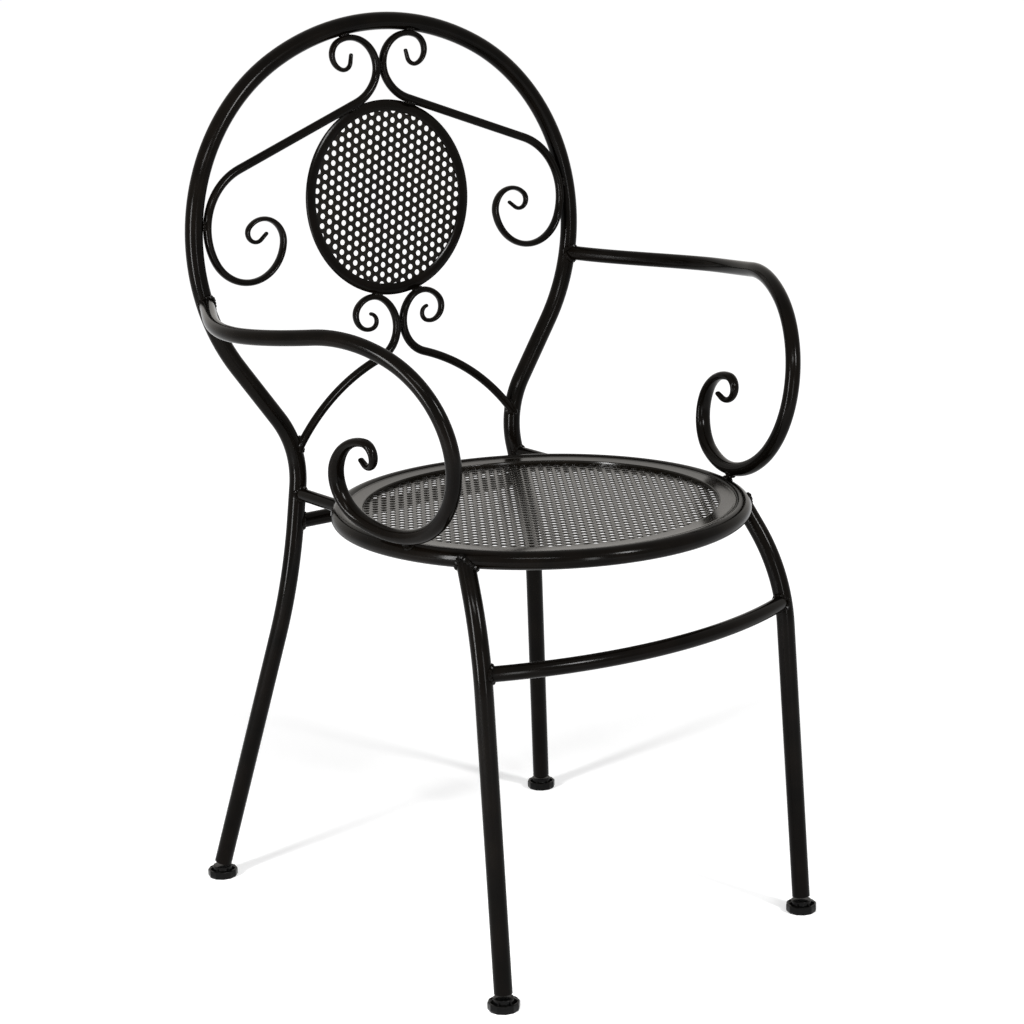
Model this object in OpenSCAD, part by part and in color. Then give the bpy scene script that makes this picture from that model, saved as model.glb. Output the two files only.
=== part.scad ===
// Wrought iron armchair for a patio: one bent tube makes the rear legs and the
// hoop back, a round seat is pressed into a tube ring, and forged scrolls carry
// a perforated medallion. Millimetres. Z is up, the chair faces -Y and the
// origin is on the floor under the middle of the chair.
// Left means -X, as seen by someone who stands in front of the chair.

/* [Tubes and bars] */
// Outside diameter of the hoop, the legs and the seat ring
tube_d = 19; // [16:0.5:22]
// Wall of every tube
wall = 1.5; // [1:0.1:2.5]
// Outside diameter of the front stretcher and the rear crossbar
rail_d = 16; // [12:0.5:18]
// Outside diameter of the two bars between the back and the seat ring
bracket_d = 14; // [10:0.5:16]
// Diameter of the scroll bar before it is hammered out
rod_d = 9.5; // [8:0.1:11]
// Gap kept at a welded joint, filled by weld metal
weld_gap = 0.15; // [0.05:0.05:0.4]

/* [Seat] */
// Height of the top of the seat ring above the floor
seat_h = 454.4; // [430:1:480]
// Radius of the seat ring, to the middle of its tube
seat_r = 210; // [195:1:225]
// Height of the pressed border above the middle of the ring tube
rim_z = 7.5; // [5:0.1:8.5]
// Width of the flat pressed border inside the ring tube
rim_w = 14.5; // [9:0.5:22]
// Depth of the step from the border down to the perforated sheet
rim_step = 4; // [2.5:0.1:6]
// Thickness of the pressed border
rim_t = 1.2; // [0.8:0.1:2]
// Thickness of both perforated sheets
sheet_t = 1; // [0.6:0.1:1.6]
// Diameter of the perforations
hole_d = 6; // [4:0.1:7]
// Distance between neighbouring perforations
hole_pitch = 10.5; // [9:0.1:14]
// Angle of the hole rows of the seat to the X axis
seat_rows = -4; // [-30:1:30]

/* [Hoop back] */
// Distance of the back behind the middle of the seat, at ring height
back_y = 242; // [235:1:260]
// Backward lean of the hoop
back_lean = 4.4; // [0:0.1:8]
// Height of the hoop's top centre line above the ring, along the back
hoop_top = 491.5; // [470:1:510]
// Bend radius of the crown
crown_r = 280; // [270:1:290]
// Half of the crown's turn
crown_turn = 28; // [24:0.5:31]
// Bend radius of the sides
side_r = 217; // [212:1:222]
// Turn of each side bend
side_turn = 97.4; // [95:0.1:99]
// Straight run between the side bend and the neck bend
neck_run = 75; // [65:1:85]
// Bend radius at the neck, where the hoop turns into the legs
neck_r = 101; // [80:1:115]
// Outward splay of the rear legs, seen from the front
rear_splay = 10.2; // [6:0.1:13]
// Backward rake of the rear legs below their bend
rear_rake = 12.85; // [8:0.1:17]
// Height of the bend in the rear legs
rear_bend_z = 350.4; // [310:1:360]
// Radius of the bend in the rear legs
rear_bend_r = 450; // [200:10:480]

/* [Front legs and rails] */
// How far the front feet stand in from the sides of the seat ring
front_foot_in = 11.5; // [0:0.5:30]
// How far the front feet stand behind the front of the seat ring
front_foot_back = 26; // [15:1:45]
// How far the knees of the front legs are in from the sides of the seat ring
knee_in = 14.5; // [5:0.5:30]
// How far the knees are behind the front of the seat ring
knee_back = 51.5; // [40:0.5:65]
// Height of the knees
knee_z = 371.4; // [350:0.1:380]
// Bend radius of the knees
knee_r = 200; // [100:5:220]
// Place of the front legs round the seat ring, from the X axis
front_leg_angle = 32; // [25:1:40]
// Height of the front stretcher
stretcher_z = 340.4; // [200:0.1:345]
// Forward bow of the front stretcher
stretcher_bow = 45; // [20:1:60]
// Drop of the rear crossbar below the middle of the ring
crossbar_drop = 34; // [24:1:60]
// Drop of the two back brackets below the middle of the ring
bracket_drop = 3; // [0:0.5:6]

/* [Arms] */
// Diameter of the arm bar
arm_d = 16; // [13:0.5:18]
// Height of the arm's joint with the hoop above the ring
arm_rise = 214; // [200:0.5:225]
// Downward tilt at the joint with the hoop
arm_tilt = 4.3; // [2:0.1:5]
// Radius of the almost level run
arm_run_r = 1410; // [1300:10:1800]
// Turn of the almost level run
arm_run_turn = 11.1; // [9:0.1:12]
// Radius of the front bend
arm_front_r = 139; // [120:1:150]
// Turn of the front bend
arm_front_turn = 35.2; // [32:0.1:44]
// Height of the arm's lowest point above the ring
arm_low = 17.2; // [15.5:0.1:20]
// Turn of the large loop
arm_loop_turn = 177.6; // [168:0.1:182]
// Radius of the curl
arm_curl_r = 44; // [38:0.1:48]
// Turn of the curl
arm_curl_turn = 157.5; // [145:0.5:170]
// Radius of the tight tip
arm_tip_r = 12.6; // [10:0.1:15]
// Turn of the tight tip
arm_tip_turn = 198; // [160:1:215]
// Straight end of the tip
arm_tip_run = 4; // [3:1:12]
// Outward sweep of the arm from the hoop to its widest point
arm_flare = 64.9; // [50:0.1:75]
// Half width between the arms where they pass the seat ring, beyond its radius
arm_narrow = -0.9; // [-2:0.1:6]
// Half width between the curls, beyond the seat ring's radius
arm_curl_out = 30.4; // [24:0.1:40]
// Inward sweep of the arm's end past the curl
arm_tip_in = 9; // [0:0.5:14]
// Length of the outward sweep behind the widest point
arm_flare_run = 174; // [130:1:200]
// Length over which the arm's end is hammered thinner
arm_taper = 260; // [200:1:300]
// Thickness of the hammered end at its tip
arm_tip_t = 5; // [3.5:0.1:7]
// Diameter of the stub that welds an arm to the seat ring
stub_d = 8; // [5:0.5:10]
// Distance of the stubs ahead of the seat centre
stub_y = 56; // [46:1:66]

/* [Scrolls] */
// Slope of the straight run of the upper scrolls
scroll_slope = 20.2; // [17:0.1:23]
// Room left under the large turn of the upper volutes
volute_ease = 3.6; // [2.8:0.1:4.4]
// Length over which the upper volute opens into the straight run
volute_lead = 9.4; // [7:0.1:12]
// Turn of the large bend of the upper volutes
upper_big_turn = 142; // [137:0.5:148]
// Radius of the inner turn of the upper volutes
upper_in_r = 16.4; // [14:0.1:18]
// Turn of the inner turn of the upper volutes
upper_in_turn = 136; // [130:1:142]
// Radius of the eye of the upper volutes
upper_eye_r = 9; // [7:0.1:10.5]
// Turn of the eyes of the upper and lower volutes
eye_turn = 150; // [120:1:165]
// Radius of the outer turn of the side volutes
side_out_r = 68.6; // [64:0.1:72]
// Turn of the outer turn of the side volutes
side_out_turn = 95; // [90:1:100]
// Turn of the middle and the inner turn of the side volutes
side_turns = 145; // [138:1:152]
// Radius of the middle turn of the side volutes
side_mid_r = 45; // [42:0.1:47]
// Radius of the inner turn of the side volutes
side_in_r = 23.7; // [21:0.1:26]
// Radius of the eye of the side volutes
side_eye_r = 9.8; // [8:0.1:11]
// Turn of the eye of the side volutes
side_eye_turn = 174; // [165:1:190]
// Straight end of the bar after that eye
side_tip = 9; // [4:0.5:11]
// Radius of the outer turn of the lower volutes
lower_out_r = 36.2; // [33:0.1:39]
// Turn of the outer turn above the point where both lower volutes meet
lower_lift = 48; // [42:1:54]
// Turn of the outer turn below that point
lower_sweep = 72; // [66:1:76]
// Radius of the middle turn of the lower volutes
lower_mid_r = 25.7; // [23:0.1:28]
// Turn of the middle turn of the lower volutes
lower_mid_turn = 91; // [85:1:97]
// Radius of the inner turn of the lower volutes
lower_in_r = 15.8; // [13:0.1:18]
// Radius of the eye of the lower volutes
lower_eye_r = 8.2; // [7:0.1:9.5]
// Height of the lower scrolls' joint with the hoop above the ring
lower_joint = 41; // [36:1:50]
// Thickness of the hammered scroll ends at their tips
scroll_tip_t = 4.2; // [3:0.1:6]
// Length of bar hammered thinner at the upper and lower volutes
short_taper = 170; // [130:1:200]
// Length of bar hammered thinner at the side volutes
long_taper = 290; // [220:1:320]

/* [Medallion] */
// Height of the medallion's centre above the ring, along the back
medallion_v = 301.3; // [296:0.1:306]
// Outside diameter of the medallion
medallion_d = 212; // [206:1:218]
// Width of the medallion's flat ring
medallion_w = 12.2; // [8:0.1:18]
// Thickness of the medallion's flat ring
medallion_t = 1.5; // [1:0.1:3]
// Distance of the medallion's front behind the middle of the scroll bars
medallion_set = 2.75; // [2:0.05:3.4]
// Angle of the hole rows of the medallion
medallion_rows = 20; // [-30:1:30]

/* [Glides] */
// Diameter of the glides
glide_d = 33; // [28:0.5:38]
// Height of the straight drum of a glide
glide_drum = 9; // [6:0.5:12]
// Width of a glide's shoulder round the leg
glide_shoulder = 2.5; // [1:0.1:4]
// Height of a glide's cone
glide_cone = 4; // [2:0.5:6]
// Length of the plug inside the leg
plug_len = 15; // [10:1:25]
// Slack between the plug and the bore of the leg
plug_slack = 0.3; // [0.2:0.05:0.5]

/* [Hidden] */
$fn = 48;
arm_sides = 12;
rod_sides = 8;
pipe_sides = 16;

// Vectors
function unit(v) = v / norm(v);
function mirror_x(v) = [-v[0], v[1], v[2]];

// A state is a place, the direction of travel and the side that a bend turns to.
function go(s, len) = [s[0] + s[1] * len, s[1], s[2]];
function flip(s) = [s[0], s[1], -s[2]];
function bend(s, r, a) = [
    s[0] + s[2] * r + r * (s[1] * sin(a) - s[2] * cos(a)),
    s[1] * cos(a) + s[2] * sin(a),
    s[2] * cos(a) - s[1] * sin(a)];

// Matrix that puts local X, Y and Z on three directions at a place
function frame(p, x, y, z) = [
    [x[0], y[0], z[0], p[0]],
    [x[1], y[1], z[1], p[1]],
    [x[2], y[2], z[2], p[2]],
    [0, 0, 0, 1]];
function across(t) = unit(abs(t[0]) < 0.9 ? cross(t, [1, 0, 0]) : cross(t, [0, 1, 0]));

// Straight bar of a diameter from a place in a direction
module pole(p, dir, len, d) {
    x = across(dir);
    multmatrix(frame(p, x, cross(dir, x), dir)) cylinder(d = d, h = len);
}

// Main levels and the shift that centres the chair's box on the origin
ring_z = seat_h - tube_d / 2;
glide_h = glide_drum + glide_cone;

// Hoop plane: U is X, V runs up along the back from ring height
lean_v = [0, sin(back_lean), cos(back_lean)];
lean_n = [0, cos(back_lean), -sin(back_lean)];
plane_0 = [0, back_y, ring_z];
function on_back(u, v, out = 0) = plane_0 + [u, 0, 0] + lean_v * v + lean_n * out;

// Right half of the hoop, from the crown down to the foot
neck_turn = crown_turn + side_turn - 90 + rear_splay;
leg_down = unit([tan(rear_splay), tan(rear_rake), -1]);
h_top = [on_back(0, hoop_top), [1, 0, 0], -lean_v];
h_side = bend(h_top, crown_r, crown_turn);
h_run = bend(h_side, side_r, side_turn);
h_neck = flip(go(h_run, neck_run));
h_leg = bend(h_neck, neck_r, neck_turn);
rear_turn = acos(h_leg[1] * leg_down);
rear_side = unit(leg_down - h_leg[1] * (h_leg[1] * leg_down));
rear_upper = (h_leg[0][2] - rear_bend_z) / -h_leg[1][2] - rear_bend_r * tan(rear_turn / 2);
h_rake = [go(h_leg, rear_upper)[0], h_leg[1], rear_side];
h_lower = bend(h_rake, rear_bend_r, rear_turn);
rear_lower = (h_lower[0][2] - glide_h) / -leg_down[2];

// Point of the rear leg's centre line: 0 to 1 neck, 1 to 2 straight, 2 to 3 bend, 3 to 4 straight
function rear_at(w) =
    w < 1 ? bend(h_neck, neck_r, neck_turn * w)[0] :
    w < 2 ? go(h_leg, rear_upper * (w - 1))[0] :
    w < 3 ? bend(h_rake, rear_bend_r, rear_turn * (w - 2))[0] :
    go(h_lower, rear_lower * (w - 3))[0];
function rear_at_z(z, lo = 0, hi = 4, k = 24) =
    k == 0 ? rear_at(lo) :
    rear_at((lo + hi) / 2)[2] > z ? rear_at_z(z, (lo + hi) / 2, hi, k - 1) :
    rear_at_z(z, lo, (lo + hi) / 2, k - 1);
function rear_dir(z) = unit(rear_at_z(z + 2) - rear_at_z(z - 2));
rear_foot = rear_at_z(glide_h);

// Right front leg, from the floor up to the middle of the ring tube
front_foot_y = seat_r - front_foot_back;
front_foot = [seat_r - front_foot_in, -front_foot_y, 0];
knee = [seat_r - knee_in, knee_back - seat_r, knee_z];
leg_end = [seat_r * cos(front_leg_angle), -seat_r * sin(front_leg_angle), ring_z];
shin = unit(knee - front_foot);
thigh = unit(leg_end - knee);
knee_turn = acos(shin * thigh);
knee_side = unit(thigh - shin * (shin * thigh));
knee_cut = knee_r * tan(knee_turn / 2);
shin_run = norm(knee - front_foot) - knee_cut;
thigh_run = norm(leg_end - knee) - knee_cut;
f_foot = [front_foot, shin, knee_side];
f_knee = go(f_foot, shin_run);
f_thigh = bend(f_knee, knee_r, knee_turn);
function front_at(w) =
    w < 1 ? go(f_foot, shin_run * w)[0] :
    w < 2 ? bend(f_knee, knee_r, knee_turn * (w - 1))[0] :
    go(f_thigh, thigh_run * (w - 2))[0];
function front_at_z(z, lo = 0, hi = 3, k = 24) =
    k == 0 ? front_at(lo) :
    front_at((lo + hi) / 2)[2] < z ? front_at_z(z, (lo + hi) / 2, hi, k - 1) :
    front_at_z(z, lo, (lo + hi) / 2, k - 1);
function front_dir(z) = unit(front_at_z(z + 2) - front_at_z(z - 2));

// The chair's box is centred on the origin from front to back
reach_front = max(seat_r + tube_d / 2, front_foot_y + glide_d / 2);
reach_back = rear_foot[1] + glide_d / 2;
shift_y = (reach_front - reach_back) / 2;
module placed() {
    translate([0, shift_y, 0]) children();
}
module mirrored() {
    mirror([1, 0, 0]) children();
}

// Space of a leg, with the weld gap, where a rail of diameter d meets it
module leg_space(p, dir, d) {
    pole(p - dir * 2 * d, dir, 4 * d, tube_d + 2 * weld_gap);
}
module ring_bar(d) {
    translate([0, 0, ring_z]) rotate_extrude($fn = 180) translate([seat_r, 0]) circle(d = d);
}
// Round ring of points across a direction of travel, turned to a fixed reference
function round_ring(s, ref, d) =
    let (b = unit(ref - s[1] * (s[1] * ref)), a = cross(s[1], b))
    oval(s[0], a, b, d, d, pipe_sides);
function bend_states(s, r, a, fine) =
    let (n = max(2, ceil(a / fine))) [for (k = [0:n]) bend(s, r, a * k / n)];

// Points moved along a direction onto a level, or onto the ring tube
function on_level(pts, d, z) = [for (q = pts) q + d * ((z - q[2]) / d[2])];
function ring_gap(q) = norm([norm([q[0], q[1]]) - seat_r, q[2] - ring_z]);
function to_ring(q, d, r, lo, hi, k = 22) =
    k == 0 ? q + d * lo :
    ring_gap(q + d * (lo + hi) / 2) > r ? to_ring(q, d, r, (lo + hi) / 2, hi, k - 1) :
    to_ring(q, d, r, lo, (lo + hi) / 2, k - 1);

// Pipe wall between outer and inner rings of points, open at both ends
module pipe(outer, inner) {
    n = len(outer[0]);
    m = len(outer);
    z = n * m;
    e = n * (m - 1);
    points = concat([for (r = outer) each r], [for (r = inner) each r]);
    faces = concat(
        [for (i = [0:m - 2]) for (j = [0:n - 1]) let (k = (j + 1) % n)
            [i * n + j, (i + 1) * n + j, (i + 1) * n + k]],
        [for (i = [0:m - 2]) for (j = [0:n - 1]) let (k = (j + 1) % n)
            [i * n + j, (i + 1) * n + k, i * n + k]],
        [for (i = [0:m - 2]) for (j = [0:n - 1]) let (k = (j + 1) % n)
            [z + i * n + j, z + (i + 1) * n + k, z + (i + 1) * n + j]],
        [for (i = [0:m - 2]) for (j = [0:n - 1]) let (k = (j + 1) % n)
            [z + i * n + j, z + i * n + k, z + (i + 1) * n + k]],
        [for (j = [0:n - 1]) let (k = (j + 1) % n) [z + j, j, k]],
        [for (j = [0:n - 1]) let (k = (j + 1) % n) [z + j, k, z + k]],
        [for (j = [0:n - 1]) let (k = (j + 1) % n) [z + e + j, e + k, e + j]],
        [for (j = [0:n - 1]) let (k = (j + 1) % n) [z + e + j, z + e + k, e + k]]);
    polyhedron(points = points, faces = faces, convexity = 10);
}

// Right half of the hoop from the crown to the foot, then the left half mirrored
half_hoop = concat(
    bend_states(h_top, crown_r, crown_turn, 7),
    [for (k = [1:14]) bend(h_side, side_r, side_turn * k / 14)],
    bend_states(h_neck, neck_r, neck_turn, 7.6),
    bend_states(h_rake, rear_bend_r, rear_turn, 6),
    [go(h_lower, rear_lower)]);
function hoop_rings(d) =
    let (half = [for (s = half_hoop) round_ring(s, lean_n, d)], last = len(half) - 1,
        right = [for (k = [0:last]) k < last ? half[k] : on_level(half[k], leg_down, glide_h)])
    concat(
        [for (k = [last:-1:1]) [for (q = right[k]) mirror_x(q)]],
        right);
module back_frame() {
    color("dimgray") placed() pipe(hoop_rings(tube_d), hoop_rings(tube_d - 2 * wall));
}

module seat_ring() {
    color("gray") placed() translate([0, 0, ring_z]) rotate_extrude() translate([seat_r, 0])
        difference() {
            circle(d = tube_d);
            circle(d = tube_d - 2 * wall);
        }
}

// Radius at which the inner flank of the ring tube is met, at a height above its middle
function flank(z) = seat_r - sqrt(pow(tube_d / 2, 2) - z * z) - weld_gap;
rim_in = seat_r - tube_d / 2 - rim_w;
sheet_z = rim_z - rim_step;
mesh_r = min(flank(sheet_z), flank(sheet_z - sheet_t));

module seat_rim() {
    color("silver") placed() translate([0, 0, ring_z]) rotate_extrude() polygon([
        [rim_in, sheet_z],
        [rim_in + rim_t, sheet_z],
        [rim_in + rim_t, rim_z - rim_t],
        [flank(rim_z - rim_t), rim_z - rim_t],
        [flank(rim_z), rim_z],
        [rim_in + rim_t, rim_z],
        [rim_in, rim_z - rim_t]]);
}

// Holes in rows, every second row moved by half a pitch, all within a radius
module holes(field_r) {
    rows = ceil(field_r / (hole_pitch * sin(60)));
    for (j = [-rows:rows]) {
        y = j * hole_pitch * sin(60);
        offs = abs(j) % 2 == 0 ? 0 : 0.5;
        for (i = [-rows - 1:rows + 1]) {
            x = (i + offs) * hole_pitch;
            if (x * x + y * y < field_r * field_r)
                translate([x, y]) circle(d = hole_d, $fn = 16);
        }
    }
}

module seat_mesh() {
    color("lightgray") placed() translate([0, 0, ring_z + sheet_z - sheet_t])
        linear_extrude(sheet_t) difference() {
            circle(r = mesh_r);
            rotate(seat_rows) holes(rim_in + hole_d / 2);
        }
}

function front_leg_rings(d) =
    let (states = concat([f_foot], bend_states(f_knee, knee_r, knee_turn, 7), [go(f_thigh, thigh_run)]),
        ref = cross(shin, knee_side),
        rings = [for (s = states) round_ring(s, ref, d)],
        last = len(rings) - 1)
    [for (k = [0:last])
        k == 0 ? on_level(rings[k], shin, glide_h) :
        k < last ? rings[k] :
        [for (q = rings[k])
            to_ring(q - thigh * 2 * tube_d, thigh, tube_d / 2 + weld_gap, 0, 2 * tube_d)]];
module front_leg() {
    placed() pipe(front_leg_rings(tube_d), front_leg_rings(tube_d - 2 * wall));
}
module front_leg_right() {
    color("steelblue") front_leg();
}
module front_leg_left() {
    color("steelblue") mirrored() front_leg();
}

// The stretcher is an arc that ends on the front legs
stretcher_end = front_at_z(stretcher_z);
stretcher_r = (pow(stretcher_end[0], 2) + pow(stretcher_bow, 2)) / (2 * stretcher_bow);
stretcher_half = asin(stretcher_end[0] / stretcher_r);
module stretcher_bar(d) {
    translate([0, stretcher_end[1] - stretcher_bow + stretcher_r, stretcher_z])
        rotate([0, 0, -90 - stretcher_half])
            rotate_extrude(angle = 2 * stretcher_half) translate([stretcher_r, 0]) circle(d = d);
}
module front_stretcher() {
    color("olive") placed() difference() {
        stretcher_bar(rail_d);
        stretcher_bar(rail_d - 2 * wall);
        leg_space(stretcher_end, front_dir(stretcher_z), rail_d);
        mirrored() leg_space(stretcher_end, front_dir(stretcher_z), rail_d);
    }
}

crossbar_end = rear_at_z(ring_z - crossbar_drop);
module rear_crossbar() {
    color("olive") placed() difference() {
        translate([-crossbar_end[0], crossbar_end[1], crossbar_end[2]]) rotate([0, 90, 0])
            difference() {
                cylinder(d = rail_d, h = 2 * crossbar_end[0]);
                cylinder(d = rail_d - 2 * wall, h = 2 * crossbar_end[0]);
            }
        leg_space(crossbar_end, rear_dir(ring_z - crossbar_drop), rail_d);
        mirrored() leg_space(crossbar_end, rear_dir(ring_z - crossbar_drop), rail_d);
    }
}

// Bracket from the seat ring straight back to the neck of the hoop
bracket_end = rear_at_z(ring_z - bracket_drop);
bracket_start = sqrt(seat_r * seat_r - pow(bracket_end[0], 2));
module seat_bracket() {
    placed() difference() {
        translate([bracket_end[0], bracket_start, bracket_end[2]]) rotate([-90, 0, 0])
            difference() {
                cylinder(d = bracket_d, h = bracket_end[1] - bracket_start);
                cylinder(d = bracket_d - 2 * wall, h = bracket_end[1] - bracket_start);
            }
        ring_bar(tube_d + 2 * weld_gap);
        leg_space(bracket_end, rear_dir(ring_z - bracket_drop), bracket_d);
    }
}
module seat_bracket_right() {
    color("goldenrod") seat_bracket();
}
module seat_bracket_left() {
    color("goldenrod") mirrored() seat_bracket();
}

// Flat paths. A turn is [radius, angle], a straight run is [0, length].
// Each sample of a path is [x, y, heading, distance from the start].
function turn_step(p, r, a, b) =
    let (s = sign(a), h = p[2] + a * b)
    [p[0] + s * r * (sin(h) - sin(p[2])), p[1] - s * r * (cos(h) - cos(p[2])),
        h, p[3] + r * abs(a) * b * PI / 180];
function samples(p, seg, fine) =
    seg[0] == 0 ?
    let (n = max(1, ceil(seg[1] / (fine * 4))))
    [for (k = [1:n]) [p[0] + seg[1] * k / n * cos(p[2]), p[1] + seg[1] * k / n * sin(p[2]),
        p[2], p[3] + seg[1] * k / n]] :
    let (n = max(2, ceil(abs(seg[1]) / fine)))
    [for (k = [1:n]) turn_step(p, seg[0], seg[1], k / n)];
function walk(p, segs, fine, i = 0) =
    i == len(segs) ? [p] :
    let (part = samples(p, segs[i], fine))
    concat([p], [for (k = [0:len(part) - 2]) part[k]],
        walk(part[len(part) - 1], segs, fine, i + 1));

// Skin over rings of points. Both ends are closed by fans.
module skin(rings) {
    n = len(rings[0]);
    m = len(rings);
    mid_a = [for (k = [0:2]) [for (q = rings[0]) q[k]] * [for (q = rings[0]) 1 / n]];
    mid_b = [for (k = [0:2]) [for (q = rings[m - 1]) q[k]] * [for (q = rings[0]) 1 / n]];
    points = concat([for (r = rings) each r], [mid_a, mid_b]);
    faces = concat(
        [for (i = [0:m - 2]) for (j = [0:n - 1])
            [i * n + j, (i + 1) * n + j, (i + 1) * n + (j + 1) % n]],
        [for (i = [0:m - 2]) for (j = [0:n - 1])
            [i * n + j, (i + 1) * n + (j + 1) % n, i * n + (j + 1) % n]],
        [for (j = [0:n - 1]) [m * n, j, (j + 1) % n]],
        [for (j = [0:n - 1]) [m * n + 1, (m - 1) * n + (j + 1) % n, (m - 1) * n + j]]);
    polyhedron(points = points, faces = faces, convexity = 10);
}

// Oval ring of points round a place: t across the bend and b along the other axis
function oval(p, side_t, side_b, t, b, n) =
    [for (j = [0:n - 1]) p + side_t * (t / 2 * cos(360 * j / n)) - side_b * (b / 2 * sin(360 * j / n))];

// Points moved along a direction until they lie on a tube through c along a
function coped(pts, d, c, a, r) = [for (q = pts)
    let (w = cross(q - c, a), v = cross(d, a), A = v * v, B = 2 * (w * v), C = w * w - r * r)
    q + d * ((-B + sqrt(max(0, B * B - 4 * A * C))) / (2 * A))];

// Hoop point and tangent at a height V on the side bend, in the plane of the back
side_mid = [(crown_r - side_r) * sin(crown_turn),
    hoop_top - crown_r + (crown_r - side_r) * cos(crown_turn)];
function hoop_u(v) = side_mid[0] + sqrt(side_r * side_r - pow(v - side_mid[1], 2));
function hoop_dir(v) = unit([-(v - side_mid[1]) / sqrt(side_r * side_r - pow(v - side_mid[1], 2)), 1]);

// Arm: side view in the distance ahead of the seat centre and the height
arm_v = arm_rise / cos(back_lean);
arm_root = on_back(hoop_u(arm_v), arm_v);
arm_axis = [hoop_dir(arm_v)[0], hoop_dir(arm_v)[1] * sin(back_lean), hoop_dir(arm_v)[1] * cos(back_lean)];
arm_p0 = [-arm_root[1], arm_root[2], -arm_tilt, 0];
arm_p1 = turn_step(arm_p0, arm_run_r, arm_run_turn, 1);
arm_p2 = turn_step(arm_p1, arm_front_r, -arm_front_turn, 1);
arm_loop_r = (arm_p2[1] - ring_z - arm_low) / (1 + cos(arm_p2[2]));
arm_p3 = turn_step(arm_p2, arm_loop_r, -arm_loop_turn, 1);
arm_path = walk(arm_p0, [[arm_run_r, arm_run_turn], [arm_front_r, -arm_front_turn],
    [arm_loop_r, -arm_loop_turn], [arm_curl_r, -arm_curl_turn],
    [arm_tip_r, -arm_tip_turn], [0, arm_tip_run]], 7);
arm_len = arm_path[len(arm_path) - 1][3];
arm_loop_len = arm_p3[3] - arm_p2[3];
narrow_at = arm_p2[3] + arm_loop_len * 0.59;
curl_at = arm_p3[3] + arm_curl_r * arm_curl_turn * PI / 180 * 0.56;
wide_x = arm_root[0] + arm_flare;
narrow_x = seat_r + arm_narrow;
curl_x = seat_r + arm_curl_out;
function ease(t, k) = (1 - cos(180 * pow(min(1, max(0, t)), k))) / 2;
function arm_x(l) =
    l < arm_flare_run ? arm_root[0] + arm_flare * pow(sin(90 * max(0, l) / arm_flare_run), 1.18) :
    l < narrow_at ? wide_x + (narrow_x - wide_x)
        * ease((l - arm_flare_run) / (narrow_at - arm_flare_run), 0.85) :
    l < curl_at ? narrow_x + (curl_x - narrow_x) * ease((l - narrow_at) / (curl_at - narrow_at), 1.37) :
    curl_x - arm_tip_in * ease((l - curl_at) / (arm_len - curl_at), 1);
function arm_point(q) = [arm_x(q[3]), -q[0], q[1]];
function arm_t(d) = arm_tip_t + (arm_d - arm_tip_t) * pow(min(1, d / arm_taper), 0.7);
function arm_b(d) =
    min(arm_d * (0.62 + 0.2 * d / arm_d), arm_d * (1 + 0.075 * sin(180 * min(1, d / arm_taper))));
function arm_tangent(q) = unit([(arm_x(q[3] + 0.5) - arm_x(q[3] - 0.5)), -cos(q[2]), sin(q[2])]);
function arm_ring(q) =
    let (t = arm_tangent(q), x = unit([1, 0, 0] - t * t[0]), z = cross(t, x), d = arm_len - q[3])
    oval(arm_point(q), z, x, arm_t(d), arm_b(d), arm_sides);
arm_rings = [for (q = arm_path) if (q[3] == 0 || q[3] > tube_d) arm_ring(q)];
module arm() {
    first = coped(arm_rings[0], arm_tangent(arm_p0), arm_root, arm_axis, tube_d / 2 + weld_gap);
    placed() skin(concat([first], [for (i = [1:len(arm_rings) - 1]) arm_rings[i]]));
}
module arm_right() {
    color("firebrick") arm();
}
module arm_left() {
    color("firebrick") mirrored() arm();
}

// Stub between the ring tube and the low point of the arm
function arm_where(y, i = 0) =
    let (q = arm_path[i], n = arm_path[i + 1])
    q[2] < -90 && q[0] > y && n[0] <= y ? q + (n - q) * ((q[0] - y) / (q[0] - n[0])) :
    arm_where(y, i + 1);
stub_q = arm_where(stub_y);
stub_arm = arm_point(stub_q);
stub_ring_at = unit([stub_arm[0], stub_arm[1], 0]) * seat_r + [0, 0, ring_z];
stub_dir = unit(stub_arm - stub_ring_at);
stub_x = stub_dir * unit([1, 0, 0] - arm_tangent(stub_q) * arm_tangent(stub_q)[0]);
stub_back = 1 / sqrt(pow(stub_x / arm_b(arm_len - stub_q[3]), 2)
    + (1 - stub_x * stub_x) / pow(arm_t(arm_len - stub_q[3]), 2)) / 2;
stub_run = norm(stub_arm - stub_ring_at) - stub_back - weld_gap;
module arm_stub() {
    placed() difference() {
        pole(stub_ring_at, stub_dir, stub_run, stub_d);
        ring_bar(tube_d + 2 * weld_gap);
    }
}
module arm_stub_right() {
    color("black") arm_stub();
}
module arm_stub_left() {
    color("black") mirrored() arm_stub();
}

// Scroll bars lie in a plane whose front is level with the front of the hoop tube
rod_n = -(tube_d - rod_d) / 2;
function arc_len(r, a) = r * a * PI / 180;

// Hammered bar: thinner and wider towards a tip, d from the tip over a length
function rod_t(d, len) = scroll_tip_t + (rod_d - scroll_tip_t) * min(1, d / len);
function rod_b(d, len) =
    min(rod_d * (0.55 + 0.095 * d / rod_d), rod_d + len / 130 * sin(180 * min(1, d / len)));

// Distance from a bar's middle to the middle line that it touches
function half_at(d, len) = rod_t(d, len) / 2 + weld_gap;
// Distance in the back's plane from a bar's middle to the middle of the hoop tube it touches
function hoop_gap(d, len) =
    let (t = rod_t(d, len) / 2, b = rod_b(d, len) / 2, a = asin(-rod_n / (tube_d / 2 + t)))
    sqrt(pow(tube_d / 2 + norm([t * cos(a), b * sin(a)]) + weld_gap, 2) - rod_n * rod_n);
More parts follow.
